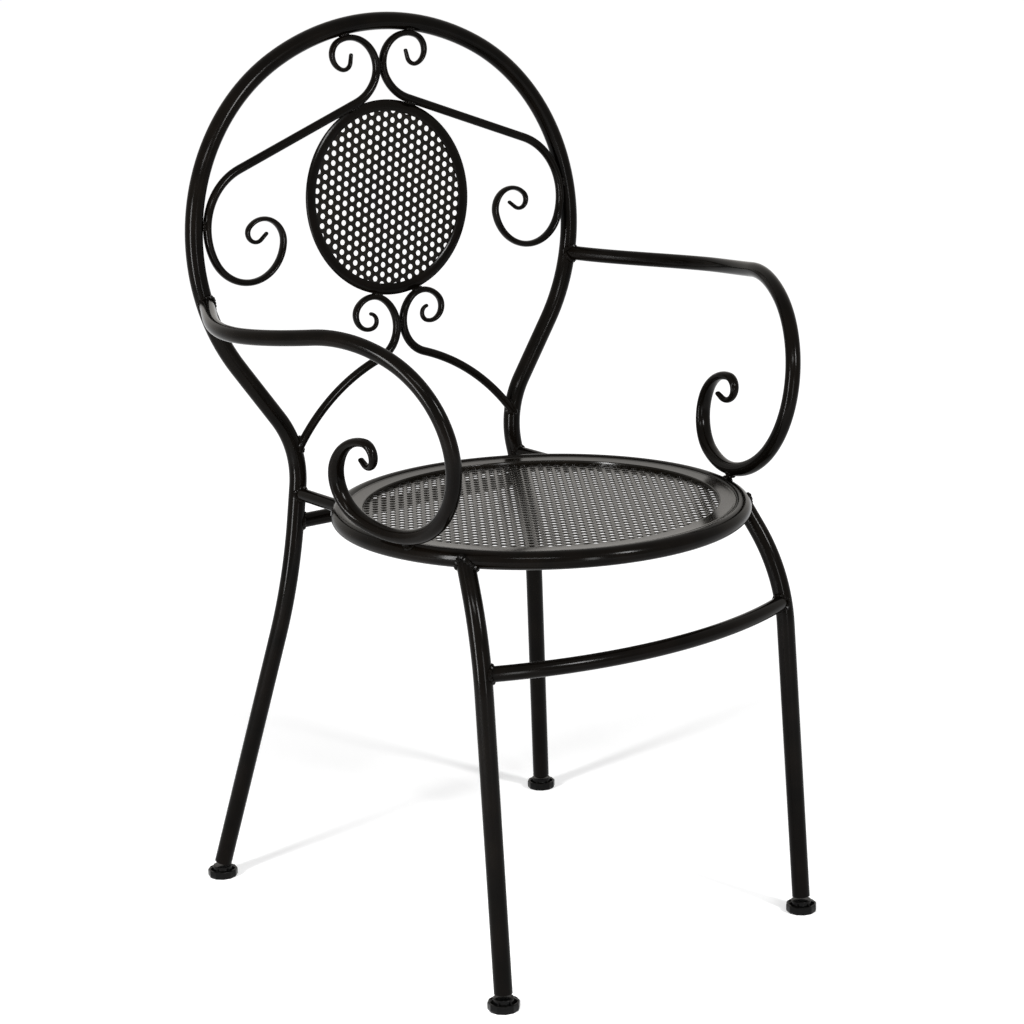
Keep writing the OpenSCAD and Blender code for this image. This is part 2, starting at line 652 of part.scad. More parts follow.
// Distance in that plane from a bar's middle to the edge of the medallion it touches
function edge_gap(d, len) =
    (rod_t(d, len) / 2 + weld_gap)
        * sqrt(1 - pow(medallion_set / (rod_b(d, len) / 2 + weld_gap), 2));

upper_eye_len = arc_len(upper_eye_r, eye_turn) + arc_len(upper_in_r, upper_in_turn);
up_mid_half = half_at(upper_eye_len + arc_len(2 * upper_in_r, 112), short_taper);
side_len = side_tip + arc_len(side_eye_r, side_eye_turn)
    + arc_len(side_in_r + side_mid_r, side_turns)
    + arc_len(side_out_r, 38);
lower_eye_len = arc_len(lower_eye_r, eye_turn) + arc_len(lower_in_r, eye_turn);
lower_half = half_at(lower_eye_len + arc_len(lower_mid_r, lower_mid_turn)
    + arc_len(lower_out_r, lower_lift), short_taper);
crown_mid = [0, hoop_top - crown_r];
med = [0, medallion_v];
medallion_r = medallion_d / 2;
slope_dir = [cos(scroll_slope), -sin(scroll_slope)];
slope_n = [sin(scroll_slope), cos(scroll_slope)];
slope_at = med + slope_n * (medallion_r + edge_gap(short_taper, short_taper));

// Big turn of an upper volute: it touches the middle line and the hoop, and
// clears the straight run by volute_ease
up_a = (1 - slope_n[0]) / slope_n[1];
up_b = (volute_ease - slope_n[0] * (up_mid_half - slope_at[0])) / slope_n[1]
    - crown_mid[1] + slope_at[1];
up_rin = crown_r - hoop_gap(upper_eye_len + arc_len(2 * upper_in_r, 15), short_taper);
up_A = up_rin * up_rin - up_mid_half * up_mid_half;
up_B = 2 * (up_rin + up_mid_half);
up_q = 2 * up_a * up_b + up_B;
up_r = (sqrt(up_q * up_q - 4 * up_a * up_a * (up_b * up_b - up_A)) - up_q) / (2 * up_a * up_a);
up_c = [up_r + up_mid_half, crown_mid[1] + sqrt(up_A - up_B * up_r)];
up_s = (up_c - slope_at) * slope_dir + volute_lead;
lead_r = (pow(volute_lead, 2) + pow((up_c - slope_at) * slope_n, 2) - up_r * up_r)
    / (2 * volute_ease);
up_foot = slope_at + slope_dir * up_s;
lead_c = up_foot + slope_n * lead_r;
lead_to = up_c - lead_c;
lead_turn = (630 - scroll_slope - atan2(lead_to[1], lead_to[0])) % 360;

// Outer turn of a side volute: it touches the straight run and the hoop
side_g = slope_at - slope_n * side_out_r - side_mid;
side_rho = side_r - hoop_gap(side_len, long_taper) - side_out_r;
side_s = sqrt(pow(side_g * slope_dir, 2) - side_g * side_g + side_rho * side_rho) - side_g * slope_dir;
side_foot = slope_at + slope_dir * side_s;

// Upper scroll: walked both ways from the foot of the upper volute
volute = walk([up_foot[0], up_foot[1], 180 - scroll_slope, 0], [[lead_r, -lead_turn],
    [up_r, -upper_big_turn], [upper_in_r, -upper_in_turn], [upper_eye_r, -eye_turn]], 12.5);
volute_len = volute[len(volute) - 1][3];
tail = walk([up_foot[0], up_foot[1], -scroll_slope, volute_len], [[0, side_s - up_s],
    [side_out_r, -side_out_turn], [side_mid_r, -side_turns], [side_in_r, -side_turns],
    [side_eye_r, -side_eye_turn], [0, side_tip]], 12.5);
upper_path = concat(
    [for (k = [len(volute) - 1:-1:1])
        [volute[k][0], volute[k][1], volute[k][2] + 180, volute_len - volute[k][3]]],
    tail);
upper_len = tail[len(tail) - 1][3];

// Lower scroll: its outer turn touches the middle line, its top touches the medallion's edge
lower_c1_u = lower_out_r + lower_half;
lower_c2_u = lower_c1_u - (lower_out_r - lower_mid_r) * cos(lower_lift);
lower_reach = medallion_r + lower_mid_r
    + edge_gap(lower_eye_len + arc_len(lower_mid_r, lower_mid_turn * 0.6), short_taper);
lower_c2_v = medallion_v - sqrt(lower_reach * lower_reach - lower_c2_u * lower_c2_u);
lower_touch = lower_c2_v - (lower_out_r - lower_mid_r) * sin(lower_lift);
lower_volute = walk([lower_half, lower_touch, 90, 0], [[lower_out_r, -lower_lift],
    [lower_mid_r, -lower_mid_turn], [lower_in_r, -eye_turn], [lower_eye_r, -eye_turn]], 12.5);
lower_vlen = lower_volute[len(lower_volute) - 1][3];
lower_p = turn_step([lower_half, lower_touch, -90, lower_vlen], lower_out_r, lower_sweep, 1);
lower_z = ring_z + lower_joint * cos(back_lean);
lower_root = rear_at_z(lower_z);
lower_axis = unit(rear_at_z(lower_z + 1) - rear_at_z(lower_z - 1));
lower_d = [lower_root[0] - lower_p[0], lower_joint - lower_p[1]];
lower_r = lower_d * lower_d / (2 * (lower_d * [sin(lower_p[2]), -cos(lower_p[2])]));
lower_turn = 2 * asin(norm(lower_d) / (2 * lower_r));
lower_tail = walk([lower_half, lower_touch, -90, lower_vlen],
    [[lower_out_r, lower_sweep], [lower_r, -lower_turn]], 9);
lower_len = lower_tail[len(lower_tail) - 1][3];
lower_path = concat(
    [for (k = [len(lower_volute) - 1:-1:1])
        [lower_volute[k][0], lower_volute[k][1], lower_volute[k][2] + 180,
            lower_vlen - lower_volute[k][3]]],
    [for (q = lower_tail) if (q[3] < lower_len - 2 * rod_d || q[3] == lower_len) q]);

function rod_ring(q, t, b) =
    oval(on_back(q[0], q[1], rod_n),
        [-sin(q[2]), cos(q[2]) * sin(back_lean), cos(q[2]) * cos(back_lean)], lean_n, t, b, rod_sides);

module upper_scroll() {
    placed() skin([for (q = upper_path) rod_ring(q,
        min(rod_t(q[3], short_taper), rod_t(upper_len - q[3], long_taper)),
        q[3] < short_taper ? rod_b(q[3], short_taper) : rod_b(upper_len - q[3], long_taper))]);
}
module upper_scroll_right() {
    color("teal") upper_scroll();
}
module upper_scroll_left() {
    color("teal") mirrored() upper_scroll();
}

module lower_scroll() {
    rings = [for (q = lower_path) rod_ring(q, rod_t(q[3], short_taper), rod_b(q[3], short_taper))];
    n = len(rings);
    h = lower_path[n - 1][2];
    back = [-cos(h), -sin(h) * sin(back_lean), -sin(h) * cos(back_lean)];
    last = coped(rings[n - 1], back, lower_root, lower_axis, tube_d / 2 + weld_gap);
    placed() skin(concat([for (k = [0:n - 2]) rings[k]], [last]));
}
module lower_scroll_right() {
    color("seagreen") lower_scroll();
}
module lower_scroll_left() {
    color("seagreen") mirrored() lower_scroll();
}

// The medallion lies behind the scroll bars, facing forward along the back's normal
medallion_in = medallion_r - medallion_w;
module on_medallion(out) {
    placed() multmatrix(frame(on_back(0, medallion_v, rod_n + medallion_set + out),
        [1, 0, 0], lean_v, -lean_n)) children();
}
module medallion_ring() {
    color("gray") on_medallion(medallion_t) linear_extrude(medallion_t) difference() {
        circle(r = medallion_r);
        circle(r = medallion_in);
    }
}
module medallion_mesh() {
    color("lightgray") on_medallion(medallion_t + weld_gap + sheet_t)
        linear_extrude(sheet_t) difference() {
            circle(r = medallion_r - medallion_w / 4);
            rotate(medallion_rows) holes(medallion_in + hole_d / 2);
        }
}

// Glide: a drum with a cone, and a plug that runs up the leg
module glide(foot, axis) {
    top_r = tube_d / 2 + glide_shoulder;
    placed() {
        translate([foot[0], foot[1], 0]) rotate_extrude() polygon([
            [0, 0],
            [glide_d / 2 - 1, 0],
            [glide_d / 2, 1],
            [glide_d / 2, glide_drum],
            [top_r, glide_h - 0.1],
            [top_r - 0.1, glide_h],
            [0, glide_h]]);
        pole(foot - axis * 4, axis, plug_len + 4, tube_d - 2 * wall - 2 * plug_slack);
    }
}
module glide_front_right() {
    color("black") glide(front_at_z(glide_h), shin);
}
module glide_front_left() {
    color("black") mirrored() glide(front_at_z(glide_h), shin);
}
module glide_rear_right() {
    color("black") glide(rear_foot, -leg_down);
}
module glide_rear_left() {
    color("black") mirrored() glide(rear_foot, -leg_down);
}

back_frame();
seat_ring();
seat_rim();
seat_mesh();
front_leg_left();
front_leg_right();
front_stretcher();
rear_crossbar();
seat_bracket_left();
seat_bracket_right();
arm_left();
arm_right();
arm_stub_left();
arm_stub_right();
upper_scroll_left();
upper_scroll_right();
lower_scroll_left();
lower_scroll_right();
medallion_ring();
medallion_mesh();
glide_front_left();
glide_front_right();
glide_rear_left();
glide_rear_right();
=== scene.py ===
"""Garden armchair of bent steel tube with forged scrolls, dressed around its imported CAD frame.

Sizes in the classes are millimetres, as a workshop drawing has them, and MM turns
them into Blender's metres where a mesh is made. Z is up, the chair faces -Y.
"""

import logging
import math
from collections.abc import Callable
from dataclasses import dataclass, field, replace
from enum import Enum

import bmesh
import bpy
from mathutils import Matrix, Vector


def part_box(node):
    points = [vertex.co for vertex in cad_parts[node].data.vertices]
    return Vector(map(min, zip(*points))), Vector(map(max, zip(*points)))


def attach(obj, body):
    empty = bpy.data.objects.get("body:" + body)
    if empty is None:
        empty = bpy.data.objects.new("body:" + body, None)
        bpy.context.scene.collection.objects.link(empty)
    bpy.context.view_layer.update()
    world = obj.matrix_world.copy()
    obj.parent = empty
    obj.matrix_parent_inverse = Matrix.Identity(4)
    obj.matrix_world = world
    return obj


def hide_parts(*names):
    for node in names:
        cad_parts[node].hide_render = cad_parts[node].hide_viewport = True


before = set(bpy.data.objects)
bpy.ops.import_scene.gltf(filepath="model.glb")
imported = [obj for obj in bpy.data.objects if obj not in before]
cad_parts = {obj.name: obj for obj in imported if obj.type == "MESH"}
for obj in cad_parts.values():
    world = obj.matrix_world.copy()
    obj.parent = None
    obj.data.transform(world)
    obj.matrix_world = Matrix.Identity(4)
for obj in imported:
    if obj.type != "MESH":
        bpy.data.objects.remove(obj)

LOG = logging.getLogger("armchair")
MM = 0.001
ORIGIN, RIGHT, BACK, UP = (Vector(v) for v in ((0, 0, 0), (1, 0, 0), (0, 1, 0), (0, 0, 1)))
WHITE = (1, 1, 1, 1)
# Longest distance in millimetres between two samples of a path.
LONGEST = 6.0
# Points nearer than this, in metres, become one: where a seam closes, and anywhere in a piece.
SEAM, SAME = 0.02 * MM, 0.002 * MM
# Halvings that find a height on a leg, and the distance each way that gives its direction.
HALVINGS, EACH_WAY = 30, 2.0


class Side(Enum):
    """Side of the chair, as seen by someone who stands in front of it."""

    RIGHT = "right"
    LEFT = "left"


class Slot(Enum):
    """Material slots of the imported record."""

    COAT = "black_coating"
    SHEET = "perforated_sheet"
    GLIDE = "glide_plastic"


def cosd(angle: float) -> float:
    """Return the cosine of an angle in degrees."""
    return math.cos(math.radians(angle))


def sind(angle: float) -> float:
    """Return the sine of an angle in degrees."""
    return math.sin(math.radians(angle))


def tand(angle: float) -> float:
    """Return the tangent of an angle in degrees."""
    return math.tan(math.radians(angle))


def arc(radius: float, angle: float) -> float:
    """Return the length of an arc of an angle in degrees."""
    return radius * math.radians(angle)


def ease(share: float) -> float:
    """Return a smooth step from 0 to 1."""
    return (1 - cosd(180 * min(1.0, max(0.0, share)))) / 2


def level(angle: float) -> Vector:
    """Return the level direction at an angle in degrees from the chair's right."""
    return Vector((cosd(angle), sind(angle), 0))


def mirrored(point: Vector) -> Vector:
    """Return a point or a direction turned over to the chair's other side."""
    return Vector((-point.x, point.y, point.z))


def matrix_of(x: Vector, y: Vector, z: Vector, at: Vector) -> Matrix:
    """Return the matrix whose columns are three axes and a place."""
    return Matrix([[column[k] for column in (x, y, z, at)] for k in range(3)] + [[0, 0, 0, 1]])


def at_height(path: Callable[[float], Vector], end: float, z: float) -> Vector:
    """Return the point, at a height, of a path that climbs or falls all the way.

    Args:
        path: gives the path's point for a value from 0 to its end.
        end: the value at its end.
        z: the height in millimetres.

    Returns:
        The point.
    """
    low, high, falls = 0.0, end, path(end).z < path(0.0).z
    for _ in range(HALVINGS):
        middle = (low + high) / 2
        low, high = (middle, high) if (path(middle).z > z) == falls else (low, middle)
    return path(low)


@dataclass(frozen=True)
class State:
    """A place on a bent tube, its direction of travel and the side its bend turns to."""

    at: Vector
    ahead: Vector
    side: Vector

    def go(self, length: float) -> "State":
        """Return the state after a straight run."""
        return State(self.at + self.ahead * length, self.ahead, self.side)

    def flip(self) -> "State":
        """Return the state with its bend turned to the other side."""
        return State(self.at, self.ahead, -self.side)

    def bend(self, radius: float, angle: float) -> "State":
        """Return the state after a bend.

        Args:
            radius: bend radius in millimetres.
            angle: turn in degrees.

        Returns:
            The state at the end of the bend.
        """
        c, s = cosd(angle), sind(angle)
        return State(
            self.at + self.side * radius + (self.ahead * s - self.side * c) * radius,
            self.ahead * c + self.side * s,
            self.side * c - self.ahead * s,
        )

    def bends(self, radius: float, angle: float, fine: float) -> list["State"]:
        """Return the states along a bend, both ends included, at most a fine angle apart."""
        count = max(2, math.ceil(angle / fine))
        return [self.bend(radius, angle * k / count) for k in range(count + 1)]


@dataclass(frozen=True)
class Step:
    """A sample of a flat path: its place, its heading in degrees and the run so far."""

    x: float
    y: float
    heading: float
    run: float = 0.0

    def turn(self, radius: float, angle: float) -> "Step":
        """Return the step after an arc, positive to the left.

        Args:
            radius: radius of the arc.
            angle: signed turn in degrees.

        Returns:
            The step at the end of the arc.
        """
        sign, to = math.copysign(1, angle), self.heading + angle
        return Step(
            self.x + sign * radius * (sind(to) - sind(self.heading)),
            self.y - sign * radius * (cosd(to) - cosd(self.heading)),
            to,
            self.run + arc(radius, abs(angle)),
        )

    def go(self, length: float) -> "Step":
        """Return the step after a straight run."""
        return Step(
            self.x + length * cosd(self.heading),
            self.y + length * sind(self.heading),
            self.heading,
            self.run + length,
        )

    def walk(self, legs: list[tuple[float, float]], fine: float) -> list["Step"]:
        """Return the samples of a path of arcs and straight runs.

        Args:
            legs: pairs of radius and turn, or of 0 and a straight length.
            fine: largest angle between two samples of an arc.

        Returns:
            The samples in order, this step first.
        """
        found = [self]
        for radius, amount in legs:
            start = found[-1]
            if radius == 0:
                count = max(1, math.ceil(amount / LONGEST))
                found += [start.go(amount * k / count) for k in range(1, count + 1)]
            else:
                spans = (abs(amount) / fine, arc(radius, abs(amount)) / LONGEST)
                count = max(2, *(math.ceil(span) for span in spans))
                found += [start.turn(radius, amount * k / count) for k in range(1, count + 1)]
        return found


def joined(first: list[Step], second: list[Step]) -> list[Step]:
    """Return one path through two that leave the same place in opposite directions.

    Args:
        first: the path that is walked backwards, its own start left out.
        second: the path that goes on, its run counted from the first one's far end.

    Returns:
        The samples in order.
    """
    length = first[-1].run
    back = [Step(s.x, s.y, s.heading + 180, length - s.run) for s in reversed(first[1:])]
    return back + second


@dataclass(frozen=True)
class Station:
    """One cross section of a bar: its centre, its two sides and its widths along them."""

    at: Vector
    across: Vector
    beside: Vector
    wide: float
    deep: float

    def ahead(self) -> Vector:
        """Return the direction that the section lies across."""
        return self.across.cross(self.beside)

    def matrix(self) -> Matrix:
        """Return the matrix, in metres, that puts a unit circle on the cross section."""
        across, beside = self.across * (self.wide / 2 * MM), self.beside * (self.deep / 2 * MM)
        return matrix_of(across, beside, self.ahead() * MM, self.at * MM)

    def moved(self, by: Vector) -> "Station":
        """Return the cross section moved by a vector."""
        return replace(self, at=self.at + by)

    def other_side(self) -> "Station":
        """Return the cross section turned over to the chair's other side."""
        turned = (mirrored(v) for v in (self.at, self.across, self.beside))
        return Station(*turned, self.wide, self.deep)


def round_station(at: Vector, ahead: Vector, hint: Vector, diameter: float) -> Station:
    """Return a round cross section across a direction of travel, turned towards a hint."""
    beside = (hint - ahead * ahead.dot(hint)).normalized()
    return Station(at, beside.cross(ahead).normalized(), beside, diameter, diameter)


def only(geom: list, kind: type) -> list:
    """Return the elements of one kind, such as the vertices, out of an operator's geometry."""
    return [g for g in geom if isinstance(g, kind)]


def circle(bm: bmesh.types.BMesh, segments: int, radius: float, matrix: Matrix) -> list:
    """Add a circle, its radius in the matrix's own measure, and return its edges."""
    made = bmesh.ops.create_circle(bm, cap_ends=False, segments=segments, radius=radius, matrix=matrix)
    return list({e for v in made["verts"] for e in v.link_edges})


def extruded(bm: bmesh.types.BMesh, edges: list) -> tuple[list, list]:
    """Extrude edges that are still to be moved, and return the new vertices and edges."""
    grown = bmesh.ops.extrude_edge_only(bm, edges=edges)["geom"]
    return only(grown, bmesh.types.BMVert), only(grown, bmesh.types.BMEdge)


class Piece:
    """A bmesh that becomes one named piece of the chair."""

    def __init__(self, name: str) -> None:
        """Start an empty piece under a name."""
        self.name = name
        self.bm = bmesh.new()

    def bar(self, stations: list[Station], sides: int = 32, closed: bool = False) -> None:
        """Sweep a bar through its cross sections.

        Args:
            stations: the cross sections in order.
            sides: number of sides of the bar.
            closed: whether the bar runs into its own start.
        """
        last = stations[0].matrix()
        start = edges = circle(self.bm, sides, 1.0, last)
        for station in stations[1:] + ([stations[0]] if closed else []):
            matrix = station.matrix()
            verts, edges = extruded(self.bm, edges)
            bmesh.ops.transform(self.bm, matrix=matrix @ last.inverted(), verts=verts)
            last = matrix
        if closed:
            ends = {v for e in start + edges for v in e.verts}
            bmesh.ops.remove_doubles(self.bm, verts=list(ends), dist=SEAM)
        else:
            for rim in (start, edges):
                bmesh.ops.edgeloop_fill(self.bm, edges=rim)

    def lathe(self, profile: list[tuple[float, float]], centre: Vector, steps: int) -> None:
        """Spin an open or closed profile round a vertical axis.

        Args:
            profile: pairs of radius and height; a closed one repeats its first pair.
            centre: a point on the axis.
            steps: number of segments round the axis.
        """
        closed = profile[0] == profile[-1]
        points = profile[:-1] if closed else profile
        verts = [self.bm.verts.new((centre + Vector((r, 0, z))) * MM) for r, z in points]
        pairs = zip(verts, verts[1:] + (verts[:1] if closed else []))
        edges = [self.bm.edges.new(pair) for pair in pairs]
        bmesh.ops.spin(
            self.bm, geom=verts + edges, cent=centre * MM, axis=UP, angle=math.tau,
            steps=steps, use_merge=True,
        )

    def both_sides(self) -> None:
        """Add the mirror image of the whole piece on the chair's other side."""
        geom = self.bm.verts[:] + self.bm.edges[:] + self.bm.faces[:]
        bmesh.ops.mirror(self.bm, geom=geom, matrix=Matrix(), merge_dist=0.0, axis="X")

    def finish(self, finish: "Finish", slot: Slot, replaces: tuple[str, ...] = (),
               mirror: bool = False, smooth: float = 40.0) -> bpy.types.Object:
        """Turn the bmesh into a shaded object that rides on the chair.

        Args:
            finish: its finish.
            slot: the record's slot that the piece stands in; not used.
            replaces: the CAD nodes that it stands for.
            mirror: whether it is turned over to the chair's other side.
            smooth: largest angle in degrees that is shaded smoothly.

        Returns:
            The object.
        """
        if mirror:
            bmesh.ops.scale(self.bm, vec=(-1, 1, 1), verts=self.bm.verts)
        bmesh.ops.remove_doubles(self.bm, verts=self.bm.verts, dist=SAME)
        bmesh.ops.recalc_face_normals(self.bm, faces=self.bm.faces)
        mesh = bpy.data.meshes.new(self.name)
        self.bm.to_mesh(mesh)
        self.bm.free()
        mesh.shade_smooth()
        mesh.set_sharp_from_angle(angle=math.radians(smooth))
        mesh.materials.append(finish.material())
        made = bpy.data.objects.new(self.name, mesh)
        bpy.context.scene.collection.objects.link(made)
        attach(made, "root")
        if replaces:
            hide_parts(*replaces)
        LOG.info("%s: %d faces, stands for %s", self.name, len(mesh.polygons), replaces or "itself")
        return made


class Wire:
    """A value or a node's output socket, with the arithmetic that shader maths needs."""

    def __init__(self, tree: "Shader", source: "bpy.types.NodeSocket | float") -> None:
        """Hold a socket or a plain number of a shader."""
        self.tree = tree
        self.source = source

    def _math(self, operation: str, *values: "Wire | float") -> "Wire":
        """Return a Math node's result on these values."""
        return self.tree.add("ShaderNodeMath", {"operation": operation}, dict(enumerate(values)))

    def __add__(self, other: "Wire | float") -> "Wire":
        """Return the sum."""
        return self._math("ADD", self, other)

    def __radd__(self, other: float) -> "Wire":
        """Return the sum."""
        return self._math("ADD", other, self)

    def __sub__(self, other: "Wire | float") -> "Wire":
        """Return the difference."""
        return self._math("SUBTRACT", self, other)

    def __rsub__(self, other: float) -> "Wire":
        """Return the reflected difference."""
        return self._math("SUBTRACT", other, self)

    def __mul__(self, other: "Wire | float") -> "Wire":
        """Return the product."""
        return self._math("MULTIPLY", self, other)

    def __rmul__(self, other: float) -> "Wire":
        """Return the product."""
        return self._math("MULTIPLY", other, self)


class Shader:
    """The node tree of a material or a world, built one node at a time."""

    def __init__(self, owner: "bpy.types.Material | bpy.types.World") -> None:
        """Start with the owner's tree, emptied.

        Args:
            owner: the material or world that the tree belongs to.
        """
        owner.use_nodes = True
        self.owner = owner
        self.tree = owner.node_tree
        self.tree.nodes.clear()

    def add(self, kind: str, settings: dict, sockets: dict,
            output: "str | int | None" = 0) -> "Wire | None":
        """Add a node.

        Args:
            kind: the node's type.
            settings: its properties, set first; "stops" holds a ramp's colour stops.
            sockets: values or wires for its inputs, by name or number.
            output: name or number of the output that is returned, if it has one.

        Returns:
            The output as a wire.
        """
        node = self.tree.nodes.new(kind)
        for key, value in settings.items():
            if key == "stops":
                ramp = node.color_ramp.elements
                while len(ramp) < len(value):
                    ramp.new(0.5)
                for stop, (place, shade) in zip(ramp, value):
                    stop.position, stop.color = place, (shade, shade, shade, 1)
            else:
                setattr(node, key, value)
        for key, value in sockets.items():
            source = value.source if isinstance(value, Wire) else value
            if isinstance(source, bpy.types.NodeSocket):
                self.tree.links.new(source, node.inputs[key])
            else:
                node.inputs[key].default_value = source
        return None if output is None else Wire(self, node.outputs[output])

    def place(self, scale: tuple[float, float, float] = (1, 1, 1)) -> Wire:
        """Return the object's own coordinates in metres, stretched by a scale."""
        spot = self.add("ShaderNodeTexCoord", {}, {}, "Object")
        return self.add("ShaderNodeMapping", {}, {"Vector": spot, "Scale": scale})

    def noise(self, where: Wire, grain: float, detail: float = 2.0) -> Wire:
        """Return noise from 0 to 1 at a place, its grain a size in millimetres."""
        sockets = {"Vector": where, "Scale": 1 / (grain * MM), "Detail": detail, "Roughness": 0.55}
        return self.add("ShaderNodeTexNoise", {}, sockets, "Fac")

    def ramp(self, value: Wire, low: float, high: float) -> Wire:
        """Return 0 where a value is up to a low one, 1 from a high one on, and a ramp between."""
        return self.add("ShaderNodeValToRGB", {"stops": [(low, 0), (high, 1)]}, {"Fac": value}, "Color")

    def blend(self, share: Wire, a: "tuple | Wire", b: "tuple | Wire") -> Wire:
        """Return a colour between two, through the colour sockets of a Mix node."""
        return self.add("ShaderNodeMix", {"data_type": "RGBA"}, {0: share, 6: a, 7: b}, 2)

    def bump(self, height: Wire, depth: float) -> Wire:
        """Return a bumped normal, its depth in millimetres."""
        sockets = {"Height": height, "Strength": 1.0, "Distance": depth * MM}
        return self.add("ShaderNodeBump", {}, sockets, "Normal")

    def rays(self) -> tuple[Wire, Wire]:
        """Tell apart what looks at a surface.

        Returns:
            1 for what the camera sees, and 1 for what a gloss or a glass sees.
        """
        names = ("Is Camera Ray", "Is Glossy Ray", "Is Transmission Ray")
        camera, gloss, glass = (self.add("ShaderNodeLightPath", {}, {}, n) for n in names)
        return camera, gloss + glass

    def close(self, surface: Wire) -> None:
        """End the tree in its output."""
        kind = "World" if isinstance(self.owner, bpy.types.World) else "Material"
        self.add(f"ShaderNodeOutput{kind}", {}, {"Surface": surface}, None)


@dataclass(frozen=True)
class Finish:
    """What every finish has: a name and a way to its material."""

    name: str = "finish"

    def material(self) -> bpy.types.Material:
        """Find the finish's material, or make it at its first use.

        Returns:
            The material.
        """
        found = bpy.data.materials.get(self.name)
        if not found:
            found = bpy.data.materials.new(self.name)
            tree = Shader(found)
            tree.close(tree.add("ShaderNodeBsdfPrincipled", {}, self.skin(tree), "BSDF"))
        return found

    def skin(self, tree: Shader) -> dict:
        """Return the Principled shader's inputs, built in a tree."""
        raise NotImplementedError


@dataclass(frozen=True)
class PowderCoat(Finish):
    """Satin black powder coat with a fine orange peel.

    Attributes:
        dark: its colour, and light the colour of its paler clouds.
        gloss: its roughness, and mottle how much the clouds change it.
        cloud: size of the clouds, which turn pale from thin to full on the noise's scale.
        peel: size of the orange peel, and depth its depth.
        level: how strongly it mirrors.
    """

    name: str = "black_powder_coat"
    dark: tuple[float, float, float, float] = (0.0010, 0.0008, 0.0006, 1)
    light: tuple[float, float, float, float] = (0.0026, 0.0019, 0.0014, 1)
    gloss: float = 0.155
    mottle: float = 0.06
    cloud: float = 38.0
    thin: float = 0.32
    full: float = 0.7
    peel: float = 3.6
    depth: float = 0.002
    level: float = 0.045

    def skin(self, tree: Shader) -> dict:
        """Build the coat: orange peel, cloudy gloss and a hint of brown.

        Args:
            tree: the material's tree.

        Returns:
            The Principled shader's inputs.
        """
        where = tree.place()
        cloud = tree.noise(where, self.cloud, 3.0)
        return {
            "Base Color": tree.blend(tree.ramp(cloud, self.thin, self.full), self.dark, self.light),
            "Roughness": self.gloss + (cloud - 0.5) * self.mottle,
            "Normal": tree.bump(tree.noise(where, self.peel), self.depth),
            "Specular IOR Level": self.level,
        }


@dataclass(frozen=True)
class SheetCoatPaintedLight(PowderCoat):
    """The same coat on flat sheet, its colour a little paler as painted light on the flat faces, and it
    mirrors more.
    """

    name: str = "powder_coat_sheet_painted_light"
    # Paler than the tube coat: painted light, for the brighter look of the flat sheet; the stronger
    # mirroring below is real gloss.
    dark: tuple[float, float, float, float] = (0.0024, 0.0018, 0.0011, 1)
    light: tuple[float, float, float, float] = (0.0042, 0.0031, 0.0019, 1)
    level: float = 0.125


@dataclass(frozen=True)
class GlidePlastic(Finish):
    """Black plastic of the foot glides, with spark grain and scuffs that lie level.

    Attributes:
        dark: its colour, and worn the colour of its scuffs.
        gloss: its roughness, and mottle how much the scuffs change it.
        scuff: size of the scuffs, which are worn from thin to full on the noise's scale.
        squash: how many times longer than high the scuffs are.
        grain: size of the spark grain, and depth its depth.
        level: how strongly it mirrors.
    """

    name: str = "black_glide_plastic"
    dark: tuple[float, float, float, float] = (0.0010, 0.0010, 0.0010, 1)
    worn: tuple[float, float, float, float] = (0.0040, 0.0038, 0.0034, 1)
    gloss: float = 0.18
    mottle: float = 0.2
    scuff: float = 9.0
    squash: float = 6.0
    thin: float = 0.5
    full: float = 0.75
    grain: float = 0.6
    depth: float = 0.012
    level: float = 0.09

    def skin(self, tree: Shader) -> dict:
        """Build the plastic.

        Args:
            tree: the material's tree.

        Returns:
            The Principled shader's inputs.
        """
        grain = tree.noise(tree.place(), self.grain)
        scuff = tree.noise(tree.place((1, 1, self.squash)), self.scuff, 4.0)
        return {
            "Base Color": tree.blend(tree.ramp(scuff, self.thin, self.full), self.dark, self.worn),
            "Roughness": self.gloss + (scuff - 0.5) * self.mottle,
            "Normal": tree.bump(grain, self.depth),
            "Specular IOR Level": self.level,
        }


@dataclass(frozen=True)
class Stock:
    """Tubes and bars that the chair is made of, and the levels that its pieces share.

    Attributes:
        gap: clearance between pieces that touch.
        bite: depth of a bar's hidden end inside the skin of the tube that it meets.
        foot_z: height of the glides' tops.
        foot_gap: length by which the legs' tubes stop short of the glides' tops.
    """

    tube: float = 19.0
    rail: float = 16.0
    bracket: float = 14.0
    rod: float = 9.5
    stub: float = 8.0
    gap: float = 0.15
    bite: float = 4.5
    seat_top: float = 454.4
    ring_r: float = 210.0
    foot_z: float = 13.0
    foot_gap: float = 4.0

    @property
    def ring_z(self) -> float:
        """Height of the middle of the ring tube."""
        return self.seat_top - self.tube / 2

    @property
    def inset(self) -> float:
        """Distance from a tube's middle to the hidden end of a bar that meets it."""
        return self.tube / 2 - self.bite

    @property
    def forward(self) -> float:
        """Distance of the rods' plane before the hoop's, so that both are flush in front."""
        return (self.tube - self.rod) / 2

    @property
    def shift(self) -> Vector:
        """Move from the seat's own middle to the frame's origin, as the CAD ring has it."""
        low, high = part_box("seat_ring")
        return Vector((0, (low.y + high.y) / 2 / MM, 0))

    def on_ring(self, angle: float) -> tuple[Vector, Vector]:
        """Return a point of the ring's centre line and the ring's direction there."""
        return level(angle) * self.ring_r + UP * self.ring_z, level(angle + 90)


